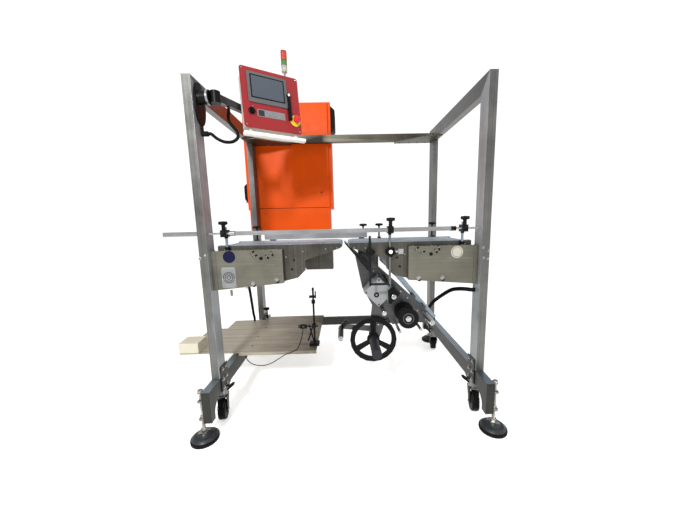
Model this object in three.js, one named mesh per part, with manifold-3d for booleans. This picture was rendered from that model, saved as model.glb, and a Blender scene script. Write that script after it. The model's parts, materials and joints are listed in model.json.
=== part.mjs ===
// Through-gap carton sealing labeller: a free-standing stainless frame on casters and levelling feet,
// two belt conveyors with a nose gap, a self-adhesive label head below the gap, a tilting operator
// panel on an arm, an electrical cabinet with a stack light, and a shelf with a product sensor.
// Millimetres, +X along the product's travel, +Y away from the operator, +Z up.
import * as THREE from 'three';
import { mergeVertices } from 'three/addons/utils/BufferGeometryUtils.js';
import Module from 'manifold-3d';

const wasm = await Module();
wasm.setup();

// ---------------------------------------------------------------- driving dimensions
const GAP = 0.3; // left between parts that touch
const FRAME_W = 1410; // over the side frames
const FRAME_D = 900;
const FRAME_H = 1715;
const TUBE_T = 40; // tube section, narrow side
const TUBE_P = 80; // tube section, wide side
const WALL = 3;
const BASE_TOP = 266; // top of the base beams
const OVERHANG = 116; // base beam past the uprights
const POST_FOOT = 106; // underside of the corner posts
const POST_D = 40;
const ARCH_R = 60;
const CORNER_T = 5; // plates that tie the uprights to the base beams
const HALF_W = FRAME_W / 2;
const INNER_X = HALF_W - TUBE_T; // inner face of the side frames

const WHEEL_R = 51;
const WHEEL_W = 40;
const CASTER_X = 697;
const CASTER_Y = 67;
const CASTER_TRAIL = 28; // wheel centre behind the swivel axis
const CASTER_TURN = THREE.MathUtils.degToRad(10);

const FOOT_R = 66;
const FOOT_X = 721;
const FOOT_Y = -88;
const ROD_R = 8;

const BELT_Z = 950; // carrying surface
const BELT_T = 3;
const BELT_Y0 = 74;
const BELT_Y1 = 334;
const BED_Y0 = 58; // outer faces of the conveyor side plates
const BED_Y1 = 350;
const PLATE = 6;
const NOSE_X = 27; // centre of the nose bar
const NOSE_R = 12; // belt's outer radius round the nose
const TAIL_X = 600;
const TAIL_R = 24;
const COVER_Y = 28;
const COVER_IN = 313;
const COVER_TOP = 927;
const DRIVE_X0 = 74; // gear box hung behind the nose
const DRIVE_X1 = { left: 232, right: 190 }; // shorter where the label head's bar passes

const POST_Y = 46; // guide and label head posts
const RAIL_Y = 22;
const RAIL_Z = 1011;
const POST_R = 6;
const CENTRE_POST_X = 222;
const SIDE_POST_X = 122;
const TIE_Z = 735;

const HEAD_Y = 256; // front face of the label head's main plate
const HEAD_T = 8;
const ROLL_Y0 = 100; // free ends of the rollers
const REEL = { x: 153, z: 354, r: 139, rim: 30 };
const REWIND = { x: 336, z: 520, r: 57 };

const PANEL_W = 304;
const PANEL_H = 300;
const PANEL_C = { x: -363, y: 224, z: 1681 };
const PANEL_YAW = THREE.MathUtils.degToRad(31.6);
const PANEL_TILT = THREE.MathUtils.degToRad(6.8);
const KNUCKLE = { x: -605, y: 50, z: 1635 };
const ELBOW = { x: -506, y: 346, z: 1664 };

const CAB = { x0: -757, x1: -90, y0: 925, y1: 1180, z0: 1155, z1: 1944 };
const CAB_BACK = { x0: -740, x1: -113, y0: 905 };
const CAB_LOW_Z = 981;

const SHELF_Z = 290.3;
const SHELF_T = 3;
const SHELF_X0 = -1004;
const BOX = { x0: -1010, x1: -893, y0: 246, y1: 356, h: 64 };

// the origin stands on the floor under the middle of the machine's bounding box
const X_MIN = BOX.x0;
const X_MAX = FOOT_X + FOOT_R;
const Y_MIN = FOOT_Y - FOOT_R;
const HANDLE_OUT = 26;
const DOOR_T = 22;
const Y_MAX = CAB.y1 + GAP + DOOR_T + HANDLE_OUT;

// ---------------------------------------------------------------- materials
const STEEL = { color: 0x9a9a98, roughness: 0.35, metalness: 0.9 };
const SHEET = { color: 0xa8a498, roughness: 0.4, metalness: 0.85 };
const DARK_STEEL = { color: 0x5a5a5c, roughness: 0.4, metalness: 0.8 };
const ALU = { color: 0xb9bec4, roughness: 0.35, metalness: 0.8 };
const CHROME = { color: 0xd0d0d0, roughness: 0.12, metalness: 1.0 };
const BLACK = { color: 0x151515, roughness: 0.5, metalness: 0.0 };
const RUBBER = { color: 0x1c1c1c, roughness: 0.8, metalness: 0.0 };
const BELTING = { color: 0x8d9aa5, roughness: 0.5, metalness: 0.0 };
const ORANGE = { color: 0xe8550c, roughness: 0.4, metalness: 0.0 };
const RED = { color: 0xa8202a, roughness: 0.35, metalness: 0.3 };
const GREY_BOX = { color: 0xd8d6cf, roughness: 0.5, metalness: 0.0 };
const CREAM = { color: 0xe6dfcf, roughness: 0.55, metalness: 0.0 };
const FOOT_GREY = { color: 0x8b8f92, roughness: 0.4, metalness: 0.5 };

// ---------------------------------------------------------------- solids
const V = (x, y, z) => new THREE.Vector3(x, y, z);

function signedVolume(g) {
  const p = g.attributes.position;
  const at = (i) => V(p.getX(i), p.getY(i), p.getZ(i));
  let sum = 0;
  for (let i = 0; i < g.index.count; i += 3) {
    const [a, b, c] = [0, 1, 2].map((k) => at(g.index.getX(i + k)));
    sum += a.dot(b.cross(c));
  }
  return sum;
}

function flipped(g) {
  const index = g.index.array;
  for (let i = 0; i < index.length; i += 3) {
    [index[i], index[i + 1]] = [index[i + 1], index[i]];
  }
  return g;
}

// a closed, merged, outward-facing geometry with positions only
function clean(geometry) {
  const g = geometry.clone();
  g.deleteAttribute('normal');
  g.deleteAttribute('uv');
  const merged = mergeVertices(g, 1e-4);
  return signedVolume(merged) < 0 ? flipped(merged) : merged;
}

function toSolid(geometry) {
  const g = clean(geometry);
  return new wasm.Manifold(new wasm.Mesh({
    numProp: 3,
    vertProperties: new Float32Array(g.attributes.position.array),
    triVerts: new Uint32Array(g.index.array),
  }));
}

function toGeometry(solid) {
  const mesh = solid.getMesh();
  const g = new THREE.BufferGeometry();
  g.setAttribute('position', new THREE.BufferAttribute(mesh.vertProperties, 3));
  g.setIndex(new THREE.BufferAttribute(mesh.triVerts, 1));
  return g;
}

const join = (...parts) => toGeometry(parts.map(toSolid).reduce((a, b) => a.add(b)));
const cut = (base, ...tools) => toGeometry(tools.map(toSolid).reduce((a, b) => a.subtract(b), toSolid(base)));

const block = (x0, x1, y0, y1, z0, z1) => new THREE.BoxGeometry(x1 - x0, y1 - y0, z1 - z0)
  .translate((x0 + x1) / 2, (y0 + y1) / 2, (z0 + z1) / 2);

const rodX = (r, x0, x1, y, z, n = 16) => new THREE.CylinderGeometry(r, r, x1 - x0, n)
  .rotateZ(Math.PI / 2).translate((x0 + x1) / 2, y, z);
const rodY = (r, y0, y1, x, z, n = 16) => new THREE.CylinderGeometry(r, r, y1 - y0, n)
  .translate(x, (y0 + y1) / 2, z);
const rodZ = (r, z0, z1, x, y, n = 16) => new THREE.CylinderGeometry(r, r, z1 - z0, n)
  .rotateX(Math.PI / 2).translate(x, y, (z0 + z1) / 2);

// a straight bar of round section between two points
function rodBetween(r, a, b, n = 14) {
  const run = b.clone().sub(a);
  const g = new THREE.CylinderGeometry(r, r, run.length(), n);
  g.applyQuaternion(new THREE.Quaternion().setFromUnitVectors(V(0, 1, 0), run.clone().normalize()));
  return g.translate((a.x + b.x) / 2, (a.y + b.y) / 2, (a.z + b.z) / 2);
}

const outline = (points) => new THREE.Shape(points.map(([a, b]) => new THREE.Vector2(a, b)));
const extrude = (shape, depth) => new THREE.ExtrudeGeometry(shape, {
  depth, bevelEnabled: false, curveSegments: 10,
});
// an outline in X and Z, between two Y values
const slabY = (shape, y0, y1) => extrude(shape, y1 - y0)
  .applyMatrix4(new THREE.Matrix4().makeBasis(V(1, 0, 0), V(0, 0, 1), V(0, -1, 0))).translate(0, y1, 0);
// an outline in Y and Z, between two X values
const slabX = (shape, x0, x1) => extrude(shape, x1 - x0)
  .applyMatrix4(new THREE.Matrix4().makeBasis(V(0, 1, 0), V(0, 0, 1), V(1, 0, 0))).translate(x0, 0, 0);
// an outline in X and Y, between two Z values
const slabZ = (shape, z0, z1) => extrude(shape, z1 - z0).translate(0, 0, z0);

// a body of revolution about Z from [radius, height] pairs that start and end on the axis
const turned = (profile, n = 24) => new THREE.LatheGeometry(
  profile.map(([r, z]) => new THREE.Vector2(r, z)), n).rotateX(Math.PI / 2);
const aboutY = (g) => g.rotateX(Math.PI / 2); // its +Z side comes to face -Y

const mirrored = (g) => flipped(clean(g).scale(-1, 1, 1));
const onSide = (side, g) => (side < 0 ? mirrored(g) : g);

const machine = new THREE.Group();
machine.position.set(-(X_MIN + X_MAX) / 2, -(Y_MIN + Y_MAX) / 2, 0);

function add(name, geometry, look, parent = machine) {
  const mesh = new THREE.Mesh(clean(geometry), new THREE.MeshStandardMaterial(look));
  mesh.name = name;
  parent.add(mesh);
  return mesh;
}

// ---------------------------------------------------------------- frame
const SIDES = [['left', -1], ['right', 1]];
const ENDS = [['front', 1], ['back', -1]];

// a front or back position: measured from the front face, or mirrored about the frame's middle
const endY = (end, y) => (end > 0 ? y : FRAME_D - y);
const slabPair = (y0, y1) => [Math.min(y0, y1), Math.max(y0, y1)];

function uprightTube(end) {
  const corner = [[0, BASE_TOP + GAP], [TUBE_P, BASE_TOP + GAP], [TUBE_P, FRAME_H - TUBE_P], [0, FRAME_H]];
  const outer = slabX(outline(corner.map(([y, z]) => [endY(end, y), z])), INNER_X, HALF_W);
  const [y0, y1] = slabPair(endY(end, WALL), endY(end, TUBE_P - WALL));
  return cut(outer, block(INNER_X + WALL, HALF_W - WALL, y0, y1, 0, FRAME_H + TUBE_P));
}

function topRailTube() {
  const slack = 0.5;
  const ends = [[slack, FRAME_H], [TUBE_P + slack, FRAME_H - TUBE_P]];
  const far = ends.map(([y, z]) => [FRAME_D - y, z]).reverse();
  const outer = slabX(outline([...ends, ...far]), INNER_X, HALF_W);
  const low = FRAME_H - TUBE_P + WALL;
  return cut(outer, block(INNER_X + WALL, HALF_W - WALL, -1, FRAME_D + 1, low, FRAME_H - WALL));
}

// beam with a downward post at each end, arched over the casters
function baseBeamShape() {
  const under = BASE_TOP - TUBE_P;
  const y0 = -OVERHANG;
  const y1 = FRAME_D + OVERHANG;
  const s = new THREE.Shape();
  s.moveTo(y0, POST_FOOT);
  s.lineTo(y0 + POST_D, POST_FOOT);
  s.lineTo(y0 + POST_D, under - ARCH_R);
  s.absarc(y0 + POST_D + ARCH_R, under - ARCH_R, ARCH_R, Math.PI, Math.PI / 2, true);
  s.lineTo(y1 - POST_D - ARCH_R, under);
  s.absarc(y1 - POST_D - ARCH_R, under - ARCH_R, ARCH_R, Math.PI / 2, 0, true);
  s.lineTo(y1 - POST_D, POST_FOOT);
  s.lineTo(y1, POST_FOOT);
  s.lineTo(y1, BASE_TOP);
  s.lineTo(y0, BASE_TOP);
  return s;
}

function baseBeam() {
  const inX = [INNER_X + WALL, HALF_W - WALL];
  const y0 = -OVERHANG;
  const y1 = FRAME_D + OVERHANG;
  let body = cut(
    slabX(baseBeamShape(), INNER_X, HALF_W),
    block(...inX, y0 + WALL, y1 - WALL, BASE_TOP - TUBE_P + WALL, BASE_TOP - WALL),
    block(...inX, y0 + WALL, y0 + POST_D - WALL, 0, BASE_TOP - TUBE_P + 2 * WALL),
    block(...inX, y1 - POST_D + WALL, y1 - WALL, 0, BASE_TOP - TUBE_P + 2 * WALL),
  );
  for (const [, end] of ENDS) {
    const [p0, p1] = slabPair(endY(end, 12), endY(end, 92));
    const plate = block(INNER_X - GAP - CORNER_T, INNER_X - GAP, p0, p1, BASE_TOP - 78, BASE_TOP + 56);
    const pad = block(INNER_X - 1, INNER_X + 1, p0 + 4, p1 - 4, BASE_TOP - 74, BASE_TOP - 4);
    const [n0, n1] = slabPair(endY(end, FOOT_Y - 14), endY(end, FOOT_Y + 10));
    const lugs = cut(
      join(
        block(HALF_W - 1, FOOT_X + 13, n0, n1, 110, 124),
        block(HALF_W - 1, FOOT_X + 13, n0, n1, 204, 214),
      ),
      rodZ(ROD_R + GAP, 100, 220, FOOT_X, endY(end, FOOT_Y)),
    );
    body = join(body, plate, pad, lugs);
  }
  return body;
}

// square bar that carries the guide on towards the line before this machine
const infeedBar = block(-HALF_W - 180, -HALF_W + 1, 30, 50, 1001, 1022);

// cable pipe clipped to the outer side of the right front upright
const clippedConduit = rodZ(8, BASE_TOP + 6, 690, HALF_W + 7, 55, 12);

for (const [sideName, side] of SIDES) {
  for (const [endName, end] of ENDS) {
    const tube = onSide(side, uprightTube(end));
    const extra = end > 0 ? [side < 0 ? infeedBar : clippedConduit] : [];
    add(`upright_${endName}_${sideName}`, join(tube, ...extra), STEEL);
  }
  add(`top_rail_${sideName}`, onSide(side, topRailTube()), STEEL);
  add(`base_beam_${sideName}`, onSide(side, baseBeam()), STEEL);
}

// back cross beams: the top one carries a gusset plate under each corner
const BEAM_TOP = FRAME_H - TUBE_P - GAP;
const BEAM_Y0 = FRAME_D - 60;
const BEAM_Y1 = FRAME_D - 20;
const LOW_BEAM_Y0 = FRAME_D - 62;
const LOW_BEAM_TOP = 280;

function gusset() {
  const inner = INNER_X - GAP;
  return slabZ(outline([
    [inner, FRAME_D - 4], [inner - 275, FRAME_D - 4], [inner - 275, BEAM_Y0 - 4],
    [inner - 60, FRAME_D - 200], [inner + 30, FRAME_D - 200], [inner + 30, FRAME_D - TUBE_P - GAP],
    [inner, FRAME_D - TUBE_P - GAP],
  ]), BEAM_TOP - 5, BEAM_TOP);
}

function crossBeam(end, y0, y1, z0, z1) {
  return cut(
    block(-end, end, y0, y1, z0, z1),
    block(-HALF_W, HALF_W, y0 + WALL, y1 - WALL, z0 + WALL, z1 - WALL),
  );
}

const topBeam = crossBeam(INNER_X - GAP, BEAM_Y0, BEAM_Y1, BEAM_TOP, BEAM_TOP + 52);
add('back_top_beam', join(topBeam, gusset(), mirrored(gusset())), STEEL);
const LOW_BEAM_END = INNER_X - CORNER_T - 2 * GAP;
const lowBeam = crossBeam(LOW_BEAM_END, LOW_BEAM_Y0, LOW_BEAM_Y0 + 40, LOW_BEAM_TOP - 57, LOW_BEAM_TOP);
add('back_bottom_beam', lowBeam, STEEL);

// ---------------------------------------------------------------- casters and feet
function casterFork() {
  const inner = WHEEL_W / 2 + 1.5;
  const axle = -CASTER_TRAIL;
  const cheek = slabX(outline([[axle - 14, 40], [axle + 14, 40], [24, 126], [-32, 126]]), inner, inner + 4);
  return join(
    cheek, mirrored(cheek),
    block(-inner - 4, inner + 4, -32, 24, 118, 126),
    rodZ(26, 124, 179, 0, 0, 20),
    block(-36, 36, -40, 40, 178, BASE_TOP - TUBE_P - GAP),
    rodX(6, -inner - 8, inner + 8, axle, WHEEL_R, 12),
  );
}

function casterWheel() {
  const h = WHEEL_W / 2;
  const bore = 6.4;
  const section = [[bore, -h], [16, -h], [20, -h + 5], [34, -h + 5], [38, -h + 1], [46, -h + 1],
    [WHEEL_R, -h + 8], [WHEEL_R, h - 8], [46, h - 1], [38, h - 1], [34, h - 5], [20, h - 5], [16, h],
    [bore, h], [bore, -h]];
  return turned(section, 20).rotateY(Math.PI / 2).translate(0, -CASTER_TRAIL, WHEEL_R);
}

function levellingFoot() {
  const pad = [[0, 0], [FOOT_R, 0], [FOOT_R, 18], [48, 31], [28, 37], [20, 46], [ROD_R, 50],
    [ROD_R, 252], [0, 252]];
  return join(turned(pad, 20), rodZ(14, 251, 268, 0, 0, 6));
}

for (const [endName, end] of ENDS) {
  for (const [sideName, side] of SIDES) {
    const corner = `${endName}_${sideName}`;
    const caster = new THREE.Group();
    caster.position.set(side * CASTER_X, endY(end, CASTER_Y + CASTER_TRAIL), 0);
    caster.rotation.z = -side * CASTER_TURN + (end < 0 ? Math.PI : 0);
    machine.add(caster);
    add(`caster_fork_${corner}`, casterFork(), DARK_STEEL, caster);
    add(`caster_wheel_${corner}`, casterWheel(), RUBBER, caster);
    const foot = add(`levelling_foot_${corner}`, levellingFoot(), FOOT_GREY);
    foot.position.set(side * FOOT_X, endY(end, FOOT_Y), 0);
  }
}

// ---------------------------------------------------------------- conveyors
// outline of a belt wrapped round the nose bar and the tail roller, inset by a margin
function beltOutline(inset) {
  const nose = { x: NOSE_X, z: BELT_Z - NOSE_R, r: NOSE_R - inset };
  const tail = { x: TAIL_X, z: BELT_Z - TAIL_R, r: TAIL_R - inset };
  const run = Math.hypot(tail.x - nose.x, tail.z - nose.z);
  const slope = Math.atan2(tail.z - nose.z, tail.x - nose.x);
  const spread = Math.acos((nose.r - tail.r) / run);
  const low = slope - spread;
  const s = new THREE.Shape();
  s.absarc(nose.x, nose.z, nose.r, slope + spread, low + 2 * Math.PI, false);
  s.absarc(tail.x, tail.z, tail.r, low, slope + spread, false);
  return s;
}

function belt() {
  return cut(slabY(beltOutline(0), BELT_Y0, BELT_Y1), slabY(beltOutline(BELT_T), BELT_Y0 - 1, BELT_Y1 + 1));
}

function conveyorFrame(driveX1) {
  const noseZ = BELT_Z - NOSE_R;
  const side = new THREE.Shape();
  side.moveTo(638, 948);
  side.lineTo(638, 745);
  side.lineTo(320, 760);
  side.lineTo(244, 778);
  side.lineTo(206, 816);
  side.lineTo(206, 866);
  side.lineTo(NOSE_X + 10, noseZ - 18);
  side.quadraticCurveTo(NOSE_X - 10, noseZ - 12, NOSE_X - 9, noseZ);
  side.lineTo(NOSE_X - 4, 948);
  const plates = [
    slabY(side, BED_Y0, BED_Y0 + PLATE),
    slabY(side, BED_Y1 - PLATE, BED_Y1),
  ];
  const bed = block(60, 560, BED_Y0 + 1, BED_Y1 - 1, 939, BELT_Z - BELT_T - 0.4);
  const rails = [
    block(40, 632, BED_Y0 + 1, BELT_Y0 - 2, 938, BELT_Z + 1),
    block(40, 632, BELT_Y1 + 2, BED_Y1 - 1, 938, BELT_Z + 1),
  ];
  const nose = rodY(NOSE_R - BELT_T - 0.4, BED_Y0 + 1, BED_Y1 - 1, NOSE_X, noseZ, 20);
  const arm = block(628, INNER_X - GAP, BED_Y1 - PLATE, FRAME_D - TUBE_P - GAP, 828, 872);
  const ties = [rodY(9, BED_Y0 + 1, BED_Y1 - 1, 330, 800), rodY(9, BED_Y0 + 1, BED_Y1 - 1, 560, 790)];
  const drive = block(DRIVE_X0, driveX1, HEAD_Y + HEAD_T + 6, BED_Y1 - PLATE + 1, 781, 905);
  const guidePost = rodZ(POST_R, 880, 1040, 586, POST_Y, 14);
  const postFoot = block(572, 600, POST_Y - 8, BED_Y0 + 2, 884, 908);
  const shaftBore = rodY(8, BED_Y0 - 1, BED_Y1 + 1, TAIL_X, BELT_Z - TAIL_R);
  return cut(join(...plates, bed, ...rails, nose, arm, ...ties, drive, guidePost, postFoot), shaftBore);
}

// guarding in front of a conveyor, bent back round its top, inner edge and bolting flange
function conveyorCover() {
  const t = 3;
  const end = INNER_X - GAP;
  const face = slabY(outline([[COVER_IN, COVER_TOP], [COVER_IN, 757], [end, 728], [end, COVER_TOP]]),
    COVER_Y, COVER_Y + t);
  return join(
    face,
    block(COVER_IN, 566, COVER_Y + 1, BED_Y0 - GAP, COVER_TOP - t, COVER_TOP),
    block(COVER_IN, COVER_IN + t, COVER_Y + 1, BED_Y0 - GAP, 758, COVER_TOP),
    block(end - t, end, COVER_Y + 1, TUBE_P - 4, 736, COVER_TOP),
  );
}

function driveRoller() {
  return join(
    rodY(TAIL_R - BELT_T - 0.4, BELT_Y0 - 1.5, BELT_Y1 + 1.5, TAIL_X, BELT_Z - TAIL_R, 24),
    rodY(7, BED_Y0 - 6, BED_Y1 + 6, TAIL_X, BELT_Z - TAIL_R, 14),
  );
}

for (const [sideName, side] of SIDES) {
  add(`conveyor_frame_${sideName}`, onSide(side, conveyorFrame(DRIVE_X1[sideName])), SHEET);
  add(`conveyor_cover_${sideName}`, onSide(side, conveyorCover()), SHEET);
  add(`belt_${sideName}`, onSide(side, belt()), BELTING);
  add(`drive_roller_${sideName}`, onSide(side, driveRoller()), CHROME);
}

// ---------------------------------------------------------------- product guides
const CLAMP_X = [-586, CENTRE_POST_X, 586];
const CLAMP_Z0 = RAIL_Z - 17;
const CLAMP_Z1 = RAIL_Z + 17;

function frontGuideRail() {
  const reach = INNER_X - 5;
  const clamps = CLAMP_X.map((x) => cut(
    block(x - 14, x + 14, RAIL_Y - 12, POST_Y + 13, CLAMP_Z0, CLAMP_Z1),
    rodZ(POST_R + GAP, CLAMP_Z0 - 1, CLAMP_Z1 + 1, x, POST_Y, 14),
  ));
  return join(
    block(-545, 528, RAIL_Y - 8, RAIL_Y + 8, RAIL_Z - 10, RAIL_Z + 10),
    rodX(5, -reach, reach, RAIL_Y, RAIL_Z, 12),
    rodX(12, -558, -532, RAIL_Y, RAIL_Z, 16),
    rodX(12, 516, 542, RAIL_Y, RAIL_Z, 16),
    ...clamps,
  );
}

function starKnob(r, height) {
  return turned([[0, 0], [r * 0.35, 0], [r * 0.38, height * 0.55], [r, height * 0.62],
    [r, height * 0.92], [r * 0.75, height], [0, height]], 16);
}

add('guide_rail_front', frontGuideRail(), ALU);
['left', 'centre', 'right'].forEach((name, i) => {
  const knob = add(`guide_knob_${name}`, starKnob(22, 42), BLACK);
  knob.position.set(CLAMP_X[i], RAIL_Y, CLAMP_Z1 + GAP);
});

// the rear rail slides in two bored blocks on the far side of the conveyors
const REAR_RODS = [-440, 100];
const REAR_Z = 976;
const rearRail = join(
  block(-480, 132, BED_Y1 - 14, BED_Y1 - 10, 957, 993),
  ...REAR_RODS.map((x) => rodY(6, BED_Y1 - 11, BED_Y1 + 190, x, REAR_Z, 14)),
);
add('guide_rail_rear', rearRail, ALU);
const rearBlocks = REAR_RODS.map((x) => cut(
  join(
    block(x - 16, x + 16, BED_Y1 + 8, BED_Y1 + 44, 950, 996),
    block(x - 12, x + 12, BED_Y1 - 2, BED_Y1 + 30, 900, 952),
  ),
  rodY(6.3, BED_Y1, BED_Y1 + 60, x, REAR_Z, 14),
));
SIDES.forEach(([sideName], i) => {
  const bed = machine.children.find((m) => m.name === `conveyor_frame_${sideName}`);
  bed.geometry = clean(join(bed.geometry, rearBlocks[i]));
});

// ---------------------------------------------------------------- label head
function headPlate() {
  const main = outline([[52, 872], [104, 872], [300, 690], [420, 575], [516, 474], [486, 440],
    [400, 448], [270, 438], [232, 500], [150, 560], [92, 669]]);
  const reelArm = outline([[150, 566], [250, 520], [188, 344], [168, 330], [142, 330], [124, 346]]);
  const sideArm = outline([[-30, 446], [-30, 418], [150, 396], [160, 430]]);
  const y = [HEAD_Y, HEAD_Y + HEAD_T];
  const slant = outline([[196, 842], [222, 862], [548, 466], [522, 446]]);
  const pins = [[286, 452, 8], [400, 462, 8], [462, 500, 15]];
  return cut(
    join(
      slabY(main, ...y), slabY(reelArm, ...y), slabY(sideArm, ...y),
      slabY(slant, 300, 330),
      rodY(14, HEAD_Y + 2, 302, 394, 604), rodY(14, HEAD_Y + 2, 302, 456, 538),
      rodY(9, ROLL_Y0 + 20, HEAD_Y + 2, 204, 551, 14), rodY(7, ROLL_Y0 + 4, HEAD_Y + 2, REWIND.x, REWIND.z, 12),
      rodY(7, 46, HEAD_Y + 2, REEL.x, REEL.z, 12),
      ...pins.map(([x, z, r]) => rodY(r, ROLL_Y0, HEAD_Y + 2, x, z, 14)),
      rodZ(POST_R, TIE_Z - 8, 1040, CENTRE_POST_X, POST_Y, 14),
      rodZ(POST_R, TIE_Z - 8, 982, SIDE_POST_X, POST_Y, 14),
      rodX(POST_R, SIDE_POST_X, CENTRE_POST_X, POST_Y, TIE_Z, 12),
      rodY(POST_R, POST_Y, HEAD_Y + 2, CENTRE_POST_X, TIE_Z, 12),
    ),
    rodY(8, HEAD_Y - 2, HEAD_Y + 20, 253, 650, 12),
  );
}
add('head_plate', headPlate(), ALU);

// wedge that turns the label web back sharply at the conveyor gap
const peel = slabY(outline([[-6, 946], [-2, 948], [140, 804], [120, 790]]), 104, 252);
const peelLeg = slabY(outline([[86, 836], [112, 812], [124, 826], [98, 850]]), 240, HEAD_Y - GAP);
add('peel_plate', join(peel, peelLeg), DARK_STEEL);

// square gearbox turned onto its corner, and the black nip unit beside it
const SQUARE = 118;
const gearbox = slabY(outline([[-1, 1], [1, 1], [1, -1], [-1, -1]].map(([a, b]) => {
  const p = new THREE.Vector2(a * SQUARE / 2, b * SQUARE / 2).rotateAround(new THREE.Vector2(), -Math.PI / 4);
  return [178 + p.x, 664 + p.y];
})), 152, HEAD_Y - GAP);
const nip = slabY(outline([[246, 706], [290, 664], [238, 604], [224, 612], [222, 680]]), 116, HEAD_Y - GAP);
const feedBore = rodY(14, 100, 250, 253, 650, 18);
const throughBore = rodY(8, 100, 270, 253, 650, 12);
add('drive_unit', cut(join(gearbox, nip, block(215, 232, 152, 240, 655, 675)), feedBore, throughBore), BLACK);

add('feed_roller', join(
  rodY(13, ROLL_Y0, 248, 253, 650, 20),
  rodY(7, 246, HEAD_Y + 6, 253, 650, 12),
), CHROME);

function idler(r, y0, y1, bore) {
  return cut(rodY(r, y0, y1, 0, 0, 20), rodY(bore, y0 - 1, y1 + 1, 0, 0, 14));
}
add('guide_roller', idler(13, ROLL_Y0 + 24, HEAD_Y - 2, 9.4), CHROME).position.set(204, 0, 551);

// dancer arm on its own pivot pin, with a roller at its free end
const DANCER = { x: -38, z: 432, pivotX: -6, pivotZ: 470 };
add('dancer_arm', join(
  rodY(15, ROLL_Y0 - 22, HEAD_Y - 14, DANCER.x, DANCER.z, 18),
  slabY(outline([[-56, 424], [-34, 414], [12, 466], [-8, 484]]), HEAD_Y - 14, HEAD_Y - 6),
), CHROME);

function threeSpokeWheel(r, rim, y0, y1) {
  const shape = new THREE.Shape();
  shape.absarc(0, 0, r, 0, 2 * Math.PI, false);
  const hub = 38;
  const spoke = 0.3;
  for (let k = 0; k < 3; k += 1) {
    const a0 = Math.PI / 2 + (k * 2 * Math.PI) / 3 + spoke * 0.5;
    const a1 = a0 + (2 * Math.PI) / 3 - spoke;
    const hole = new THREE.Path();
    hole.absarc(0, 0, r - rim, a0, a1, false);
    hole.absarc(0, 0, hub, a1 - 0.2, a0 + 0.2, true);
    shape.holes.push(hole);
  }
  return slabY(shape, y0, y1);
}

add('supply_reel', cut(
  join(threeSpokeWheel(REEL.r, REEL.rim, 232, 248), rodY(27, 38, 240, 0, 0, 22)),
  rodY(7.4, 44, 260, 0, 0, 14),
), BLACK).position.set(REEL.x, 0, REEL.z);

add('rewind_reel', cut(
  join(
    rodY(REWIND.r, 116, 120, 0, 0, 30), rodY(REWIND.r, 240, 244, 0, 0, 30),
    rodY(24, 118, 242, 0, 0, 20),
  ),
  rodY(7.4, 110, 250, 0, 0, 14),
), BLACK).position.set(REWIND.x, 0, REWIND.z);

const clampKnob = add('head_clamp_knob', aboutY(starKnob(27, 26)), BLACK);
clampKnob.position.set(CENTRE_POST_X, POST_Y - POST_R - GAP, 903);

// ---------------------------------------------------------------- operator panel
function panelMount() {
  const oval = new THREE.Shape();
  oval.absellipse(58, 1608, 47, 94, 0, 2 * Math.PI, false);
  return join(
    slabX(oval, -INNER_X + GAP, -INNER_X + 10),
    rodX(31, -INNER_X + 8, KNUCKLE.x, KNUCKLE.y, KNUCKLE.z, 22),
    rodX(12, -INNER_X + GAP, -INNER_X + 30, 62, 1480, 14),
    block(-INNER_X + GAP, -INNER_X + 6, 50, 74, 1480, 1530),
  );
}
add('panel_mount', panelMount(), BLACK);

// the arm pivots on a vertical pin just past the mount's round body
const HUB_R = 20;
const ARM_PIVOT = V(KNUCKLE.x + HUB_R + 2.5, KNUCKLE.y + 2, KNUCKLE.z);
const ELBOW_TOP = ELBOW.z + 18;
function supportArm() {
  const tip = V(ELBOW.x, ELBOW.y, ELBOW.z);
  const run = tip.clone().sub(ARM_PIVOT);
  const length = run.length();
  const beam = block(0, length - 4, -14, 14, -17, 17);
  const turn = new THREE.Matrix4().makeRotationZ(Math.atan2(run.y, run.x));
  const pitch = new THREE.Matrix4().makeRotationY(-Math.asin(run.z / length));
  beam.applyMatrix4(turn.multiply(pitch)).translate(ARM_PIVOT.x, ARM_PIVOT.y, ARM_PIVOT.z);
  return join(
    beam,
    rodZ(HUB_R + 2, ARM_PIVOT.z - 26, ARM_PIVOT.z + 26, ARM_PIVOT.x, ARM_PIVOT.y, 20),
    rodZ(HUB_R, ELBOW.z - 24, ELBOW_TOP, tip.x, tip.y, 18),
    rodZ(7, ELBOW.z, ELBOW_TOP + 34, tip.x, tip.y, 12),
  );
}
add('panel_arm', supportArm(), ALU);

// link from the elbow to the tilt pin behind the panel
const TILT = { x: -57, y: 84, z: 0 };
const across = V(Math.cos(PANEL_YAW), Math.sin(PANEL_YAW), 0);
function panelLink() {
  const pin = V(TILT.x, TILT.y, TILT.z).applyEuler(panel.rotation).add(panel.position);
  const hubTop = ELBOW_TOP + 34;
  const at = (d) => pin.clone().addScaledVector(across, d);
  return cut(
    join(
      rodZ(HUB_R, ELBOW_TOP + GAP, hubTop, ELBOW.x, ELBOW.y, 18),
      rodBetween(10, V(ELBOW.x, ELBOW.y, hubTop - 12), pin),
      rodBetween(12, at(-17), at(17), 18),
    ),
    rodZ(7.3, ELBOW_TOP - 1, hubTop + 1, ELBOW.x, ELBOW.y, 12),
    rodBetween(5.3, at(-20), at(20), 12),
  );
}

const panel = new THREE.Group();
panel.position.set(PANEL_C.x, PANEL_C.y, PANEL_C.z);
panel.rotation.set(-PANEL_TILT, 0, PANEL_YAW, 'ZXY');
machine.add(panel);
add('panel_link', panelLink(), DARK_STEEL);

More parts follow.
